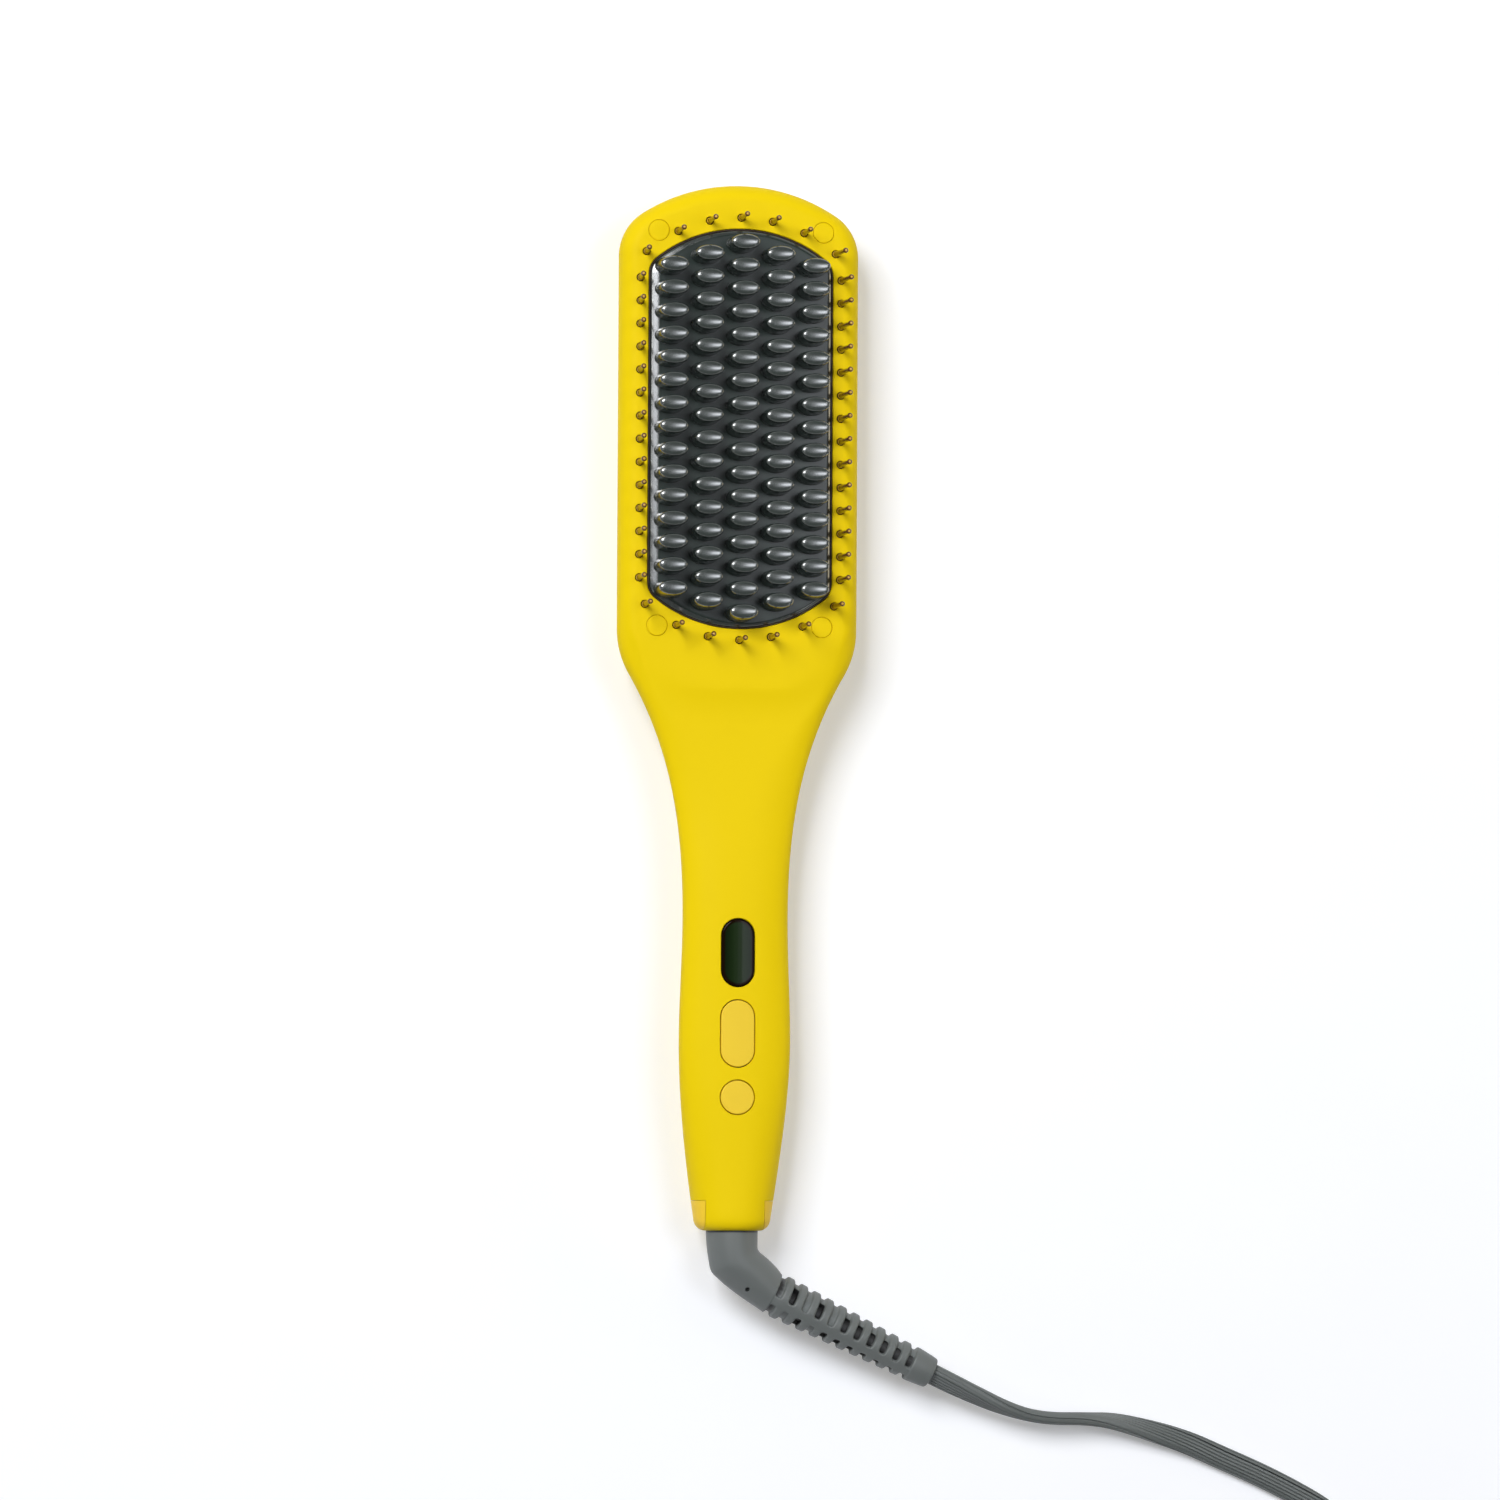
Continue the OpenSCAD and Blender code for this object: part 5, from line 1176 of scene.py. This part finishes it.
def boot_ring(matrix, along, radius, slotted):
    """One ring of the boot. Its spines lie on local X, with bridges between the slots on local Y."""
    gaps = [-0.35, -0.08, 0, 0.05, 0.12, 0.3, 0.6]
    near = [math.degrees(math.asin((SPINE_W / 2 + g) / radius)) for g in gaps]
    far = [math.degrees(math.acos((BRIDGE_W / 2 + g) / radius)) for g in reversed(gaps)]
    angles = [0, 8] + near + [lerp(near[-1], far[0], t / 3) for t in (1, 2)] + far + [lerp(far[-1], 90, 0.5)]
    half = angles + [90] + [180 - a for a in reversed(angles[1:])]
    slot = min(max(round((along - SLOT_FROM) / SLOT_PITCH), 0), BOOT_SLOTS - 1)
    off = abs(along - (SLOT_FROM + slot * SLOT_PITCH))
    twisted = matrix @ moved(0, 0, along) @ rotated(SPINE_TWIST * along / ribbed_l, "Z")
    ring = []
    for c, s in map(turn, half + [a + 180 for a in half]):
        r = radius
        if slotted:
            side = ease((radius * abs(s) - SPINE_W / 2) / 1.5)
            r -= BRIDGE_DROP * side * ease((1.3 - off) / 0.85)
            raised = slot in RAISED[s < 0]
            floor = max(SLOT_FLOOR_R, radius - RAISED_DEPTH) if raised else SLOT_FLOOR_R - DEEPER
            edge_gap = min(radius * abs(s) - SPINE_W / 2, radius * abs(c) - BRIDGE_W / 2)
            r = lerp(r, min(floor, r), slot_depth(off, edge_gap))
        ring.append(twisted @ Vector((r * c, r * s, 0)))
    return ring


def relief_finish():
    """The cord's grey, with painted shade deep in the slots and round the cord at the collar's end."""
    finish = cord_rubber("relief_grey")
    start = swivel_frame @ outlet_place
    off = [place - from_here * MM for place, from_here in zip(finish.axes(finish.place()), start)]
    along = sum(part * way for part, way in zip(off, boot_axis))
    aside = [part - along * way for part, way in zip(off, boot_axis)]
    reach = finish.math("SQRT", sum(part * part for part in aside))
    surface = OUTLET_R * MM - along * ((OUTLET_R - BOOT_END_R) / ribbed_l)
    # Painted shade: nearly black where the slots lie more than a millimetre under the boot's surface
    deep = (reach - surface).below(-MM, 0.25 * MM) * along.below((ribbed_l + 0.1) * MM, 0.1 * MM)
    # Painted shade round the cord where it leaves the collar's end
    painted_mouth_shade = reach.below(3.84 * MM, 0.03 * MM) * (-along).below(-(ribbed_l + 1) * MM, MM)
    finish.set(base_color=finish.mix(finish.plain, linear(24, 25, 25), deep + painted_mouth_shade))
    return finish


def make_boot():
    matrix = aimed(outlet_place, BOOT_TURN) @ rotated(SPINE_ROLL, "Z")
    levels = {0.0, 0.05}
    for i in range(BOOT_SLOTS):
        for d in (0, 0.4, 0.62, 0.75, 0.84, 0.87, 0.9, 0.97, 1.08, 1.3, 1.7):
            levels |= {round(SLOT_FROM + i * SLOT_PITCH + s * d, 3) for s in (-1, 1)}
    rings = []
    for along in sorted(v for v in levels if 0 <= v <= ribbed_l - 0.05):
        radius = lerp(OUTLET_R, BOOT_END_R, along / ribbed_l) - 0.35 * ease(1 - along / 3)
        rings.append(boot_ring(matrix, along, radius, along > 0.1))
    collar = (
        (ribbed_l, BOOT_END_R - 0.05), (ribbed_l + 0.08, BOOT_END_R), (ribbed_l + 0.3, BOOT_END_R + 0.1),
        (ribbed_l + 0.7, BOOT_END_R + 0.12), (lerp(ribbed_l, BOOT_L, 0.55), 4.66), (BOOT_L - 0.7, 4.4),
        (BOOT_L - 0.3, 4.3), (BOOT_L - 0.08, 4.1), (BOOT_L, 3.9), (BOOT_L - 0.04, 3.82), (BOOT_L - 1, 3.7),
    )
    rings += [boot_ring(matrix, along, r, False) for along, r in collar]
    shape = Shape().skin(rings)
    make_piece("strain_relief_boot", shape, relief_finish(), ("strain_relief",), "swivel", 42)


# Plug and tie
def plug_ring(along, half_w, half_h):
    """A squarish ring across the plug, whose corners are those of a cubed circle."""
    ring = []
    for c, s in circle(40):
        k = 1 / (abs(c) ** 3 + abs(s) ** 3) ** (1 / 3)
        ring.append(plug_entry + Vector((-along - 0.05, k * s * half_w, k * c * half_h)))
    return ring


def make_plug():
    """Moulded plug: a ribbed tail that flares into a grip with finger grooves."""
    half_w, half_h = PLUG_W / 2, PLUG_H / 2
    stations = [
        (0, 4.1, 2.9), (0.4, 4.35, 3.15), (6, 4.8, 3.6), (12, 5.2, 4.2), (18, 6, 5), (23, 8.5, 6.6),
        (28, 0.84 * half_w, 0.92 * half_h), (36, 0.88 * half_w, 0.92 * half_h), (46, half_w, half_h),
        (50.2, half_w, half_h), (50.8, half_w - 0.3, half_h - 0.3), (51, half_w - 0.9, half_h - 0.9),
    ]
    rings = []
    for (a, wa, ha), (b, wb, hb) in zip(stations, stations[1:]):
        steps = max(round((b - a) / 0.55), 1)
        for t in spread(0, 1, steps):
            along = lerp(a, b, t)
            dip = 0
            if 2 < along < 21:
                dip = 0.45 * max(0, turn(360 * along / 3.2)[0]) ** 2
            elif 29 < along < 44:
                dip = 0.55 * max(0, turn(360 * along / 3)[0]) ** 3
            rings.append(plug_ring(along, lerp(wa, wb, ease(t) if b - a > 3 else t) - dip, lerp(ha, hb, t)))
    rings.append(plug_ring(*stations[-1]))
    make_piece("plug", Shape().skin(rings), cord_grey, ("plug_body",), "swivel")


def make_tie():
    """A strap round all the turns, its corners rounded."""
    half_w, thick, pinch, room, r = 4, 0.6, 0.12, 0.45, 1.3
    innermost = 360 * (COIL_TURNS // 2)
    angles = (180, innermost + 180, innermost - 180)
    radii = [(COIL_C - coil_point(a)).xy.length for a in angles]
    outer_r = radii[0] + CORD_T / 2 + room
    inner_r = min(radii[1:]) - CORD_T / 2 - room - 0.7
    low_x, high_x = COIL_C.x - outer_r - thick, COIL_C.x - inner_r + thick
    top = edge_z + coil_layer + CORD_W / 2 + 0.1 + thick
    corners = (
        (high_x - r, top - r, 0), (low_x + r, top - r, 90), (low_x + r, r, 180), (high_x - r, r, 270),
    )
    rings = []
    for y, inset in (
        (-half_w, pinch), (0.2 - half_w, 0), (half_w - 0.2, 0), (half_w, pinch), (half_w, thick - pinch),
        (half_w - 0.2, thick), (0.2 - half_w, thick), (-half_w, thick - pinch),
    ):
        ring = []
        for x, z, start in corners:
            for c, s in (turn(start + 18 * i) for i in range(6)):
                ring.append((x + (r - inset) * c, COIL_C.y + y, z + (r - inset) * s))
        rings.append(ring)
    make_piece("cable_tie", Shape().skin(rings, True), tie_black, ("cord_tie",), "swivel")


for make in (
    make_shells, make_covers, make_collar, make_plate, make_gasket, make_pins, make_lens, make_rocker,
    make_power, make_elbow, make_boot, make_plug, make_tie,
):
    make()


# Finishes of the CAD solids that stay
KEPT = (
    (
        drawn_metal("steel", linear(176, 180, 184), 0.3),
        "head_screws heater_clamp clamp_screws thermal_fuse board_screws retaining_clip",
    ),
    (drawn_metal("brass", linear(205, 165, 84), 0.28), "contact_springs slip_rings plug_blades"),
    (moulded("ceramic", linear(232, 228, 216), 0.6, 0.25, 0.01, 0.03), "heater_element"),
    (moulded("mica", linear(186, 168, 126), 0.4, 1.5, 0.02, 0.12), "insulation_sheet"),
    (
        moulded("black_plastic", linear(40, 42, 44), 0.45, 0.4, 0.01, 0.06),
        "thermistor control_chip triac display_module button_frame switch_bodies swivel_socket "
        "contact_block",
    ),
    (moulded("lead_red", linear(172, 60, 46), 0.5, 0.5, 0.006, 0.05), "heater_leads"),
    (
        moulded("lead_white", linear(218, 215, 205), 0.5, 0.5, 0.006, 0.03),
        "fuse_leads sensor_leads swivel_wires",
    ),
    (moulded("lead_black", linear(34, 35, 36), 0.5, 0.5, 0.006, 0.05), "mains_leads"),
    (board_finish(), "control_board"),
    (moulded("capacitor_amber", linear(200, 166, 58), 0.35, 0.8, 0.006, 0.05), "filter_capacitor"),
    (moulded("can_blue", linear(44, 52, 82), 0.3, 0.8, 0.004, 0.05), "reservoir_capacitor"),
    (
        moulded("plunger_ivory", linear(216, 216, 208), 0.45, 0.4, 0.006, 0.03),
        "plunger_up plunger_down plunger_power",
    ),
    (cord_grey, "inner_cord"),
)
for finish, nodes in KEPT:
    for node in nodes.split():
        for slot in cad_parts[node].material_slots:
            slot.material = finish.material

[tuple(p * MM) for p in cord_path]


# Studio
def area_light(name, toward, distance, size, watts, colour=(1, 1, 1)):
    """A soft box facing the brush. Its first size lies along X."""
    lamp = bpy.data.lights.new(name, "AREA")
    lamp.shape = "RECTANGLE"
    lamp.size, lamp.size_y = size
    lamp.energy = watts
    lamp.color = colour
    made = bpy.data.objects.new(name, lamp)
    back = Vector(toward).normalized()
    up = back.cross((1, 0, 0)).normalized()
    facing = Matrix((up.cross(back), up, back)).transposed().to_4x4()
    made.matrix_world = Matrix.Translation(back * distance) @ facing
    bpy.context.scene.collection.objects.link(made)


NEAR, COOL, WARM = 2.1, (0.97, 1, 1.07), (1, 0.82, 0.5)
AMBIENT, CEILING = 0.3, 0.15
CEILING_FROM, CEILING_TO = 0.15, 0.55
FLOOR_GLOW = 0.25


def make_lamps():
    area_light("key", (-0.5, 0.45, 1), 2.4, (1.05, 1.05), 38)
    # Two soft boxes, brighter towards their middle. Their layers hang a little apart, so that each
    # is mirrored
    for drop, size, watts in ((0, (1.1, 1.3), 2.6), (0.02, (0.8, 0.9), 3), (0.04, (0.5, 0.5), 3)):
        area_light("wide_box", (0.33, 0.07, 1), NEAR - drop, size, watts, COOL)
    for drop, reach, watts in ((0, 0.93, 2.8), (0.02, 0.66, 1.8)):
        toward = (-0.29, (1.1 - reach / 2) / NEAR, 1)
        area_light("left_strip", toward, NEAR - drop, (0.22, reach), watts, COOL)
    area_light("left_low", (-0.5, -0.35, 1), NEAR, (0.3, 0.3), 1)
    area_light("right_low", (1.6, 0, 0.6), NEAR, (0.5, 1), 4, WARM)
    area_light("spark", (0.62, 0.42, 1), NEAR, (0.25, 0.25), 1)
    area_light("kick", (0.7, -0.75, 1), NEAR, (0.2, 0.2), 0.6)


def make_floor():
    """White paper that the camera and the mirrors see a little lighter than its light makes it."""
    floor = Shape().skin(block((-3000, -3000, -2), (3000, 3000, -0.02))).object("floor")
    paper = Finish("paper", [0.83, 0.84, 0.87, 1], 0.9, specular_ior_level=0.1)
    paper.set(base_color=paper.mix([0.82, 0.835, 0.87, 1], [0.84, 0.855, 0.89, 1], paper.noise(40)))
    inputs = {"Color": [1, 1, 1, 1], "Strength": paper.seen(0) * FLOOR_GLOW}
    glow = paper.node("ShaderNodeEmission", inputs)
    both = paper.node("ShaderNodeAddShader", {0: Signal(paper, paper.shader.outputs[0]), 1: glow})
    paper.feed(paper.tree.nodes["Material Output"].inputs["Surface"], both)
    floor.data.materials.append(paper.material)


def make_world():
    """White walls all round, with a dim ceiling over the table."""
    world = bpy.data.worlds.new("studio")
    bpy.context.scene.world = world
    world.use_nodes = True
    nodes = Nodes(world.node_tree)
    up = nodes.axes(nodes.node("ShaderNodeTexCoord", {}, "Generated"))[2]
    inputs = {"Value": up, "From Min": CEILING_FROM, "From Max": CEILING_TO, "To Min": 1, "To Max": CEILING}
    height = nodes.node("ShaderNodeMapRange", inputs, interpolation_type="SMOOTHSTEP")
    back = nodes.tree.nodes["Background"]
    nodes.feed(back.inputs["Color"], (1, 1, 1, 1))
    nodes.feed(back.inputs["Strength"], nodes.seen(AMBIENT) * height)


make_lamps()
make_floor()
make_world()
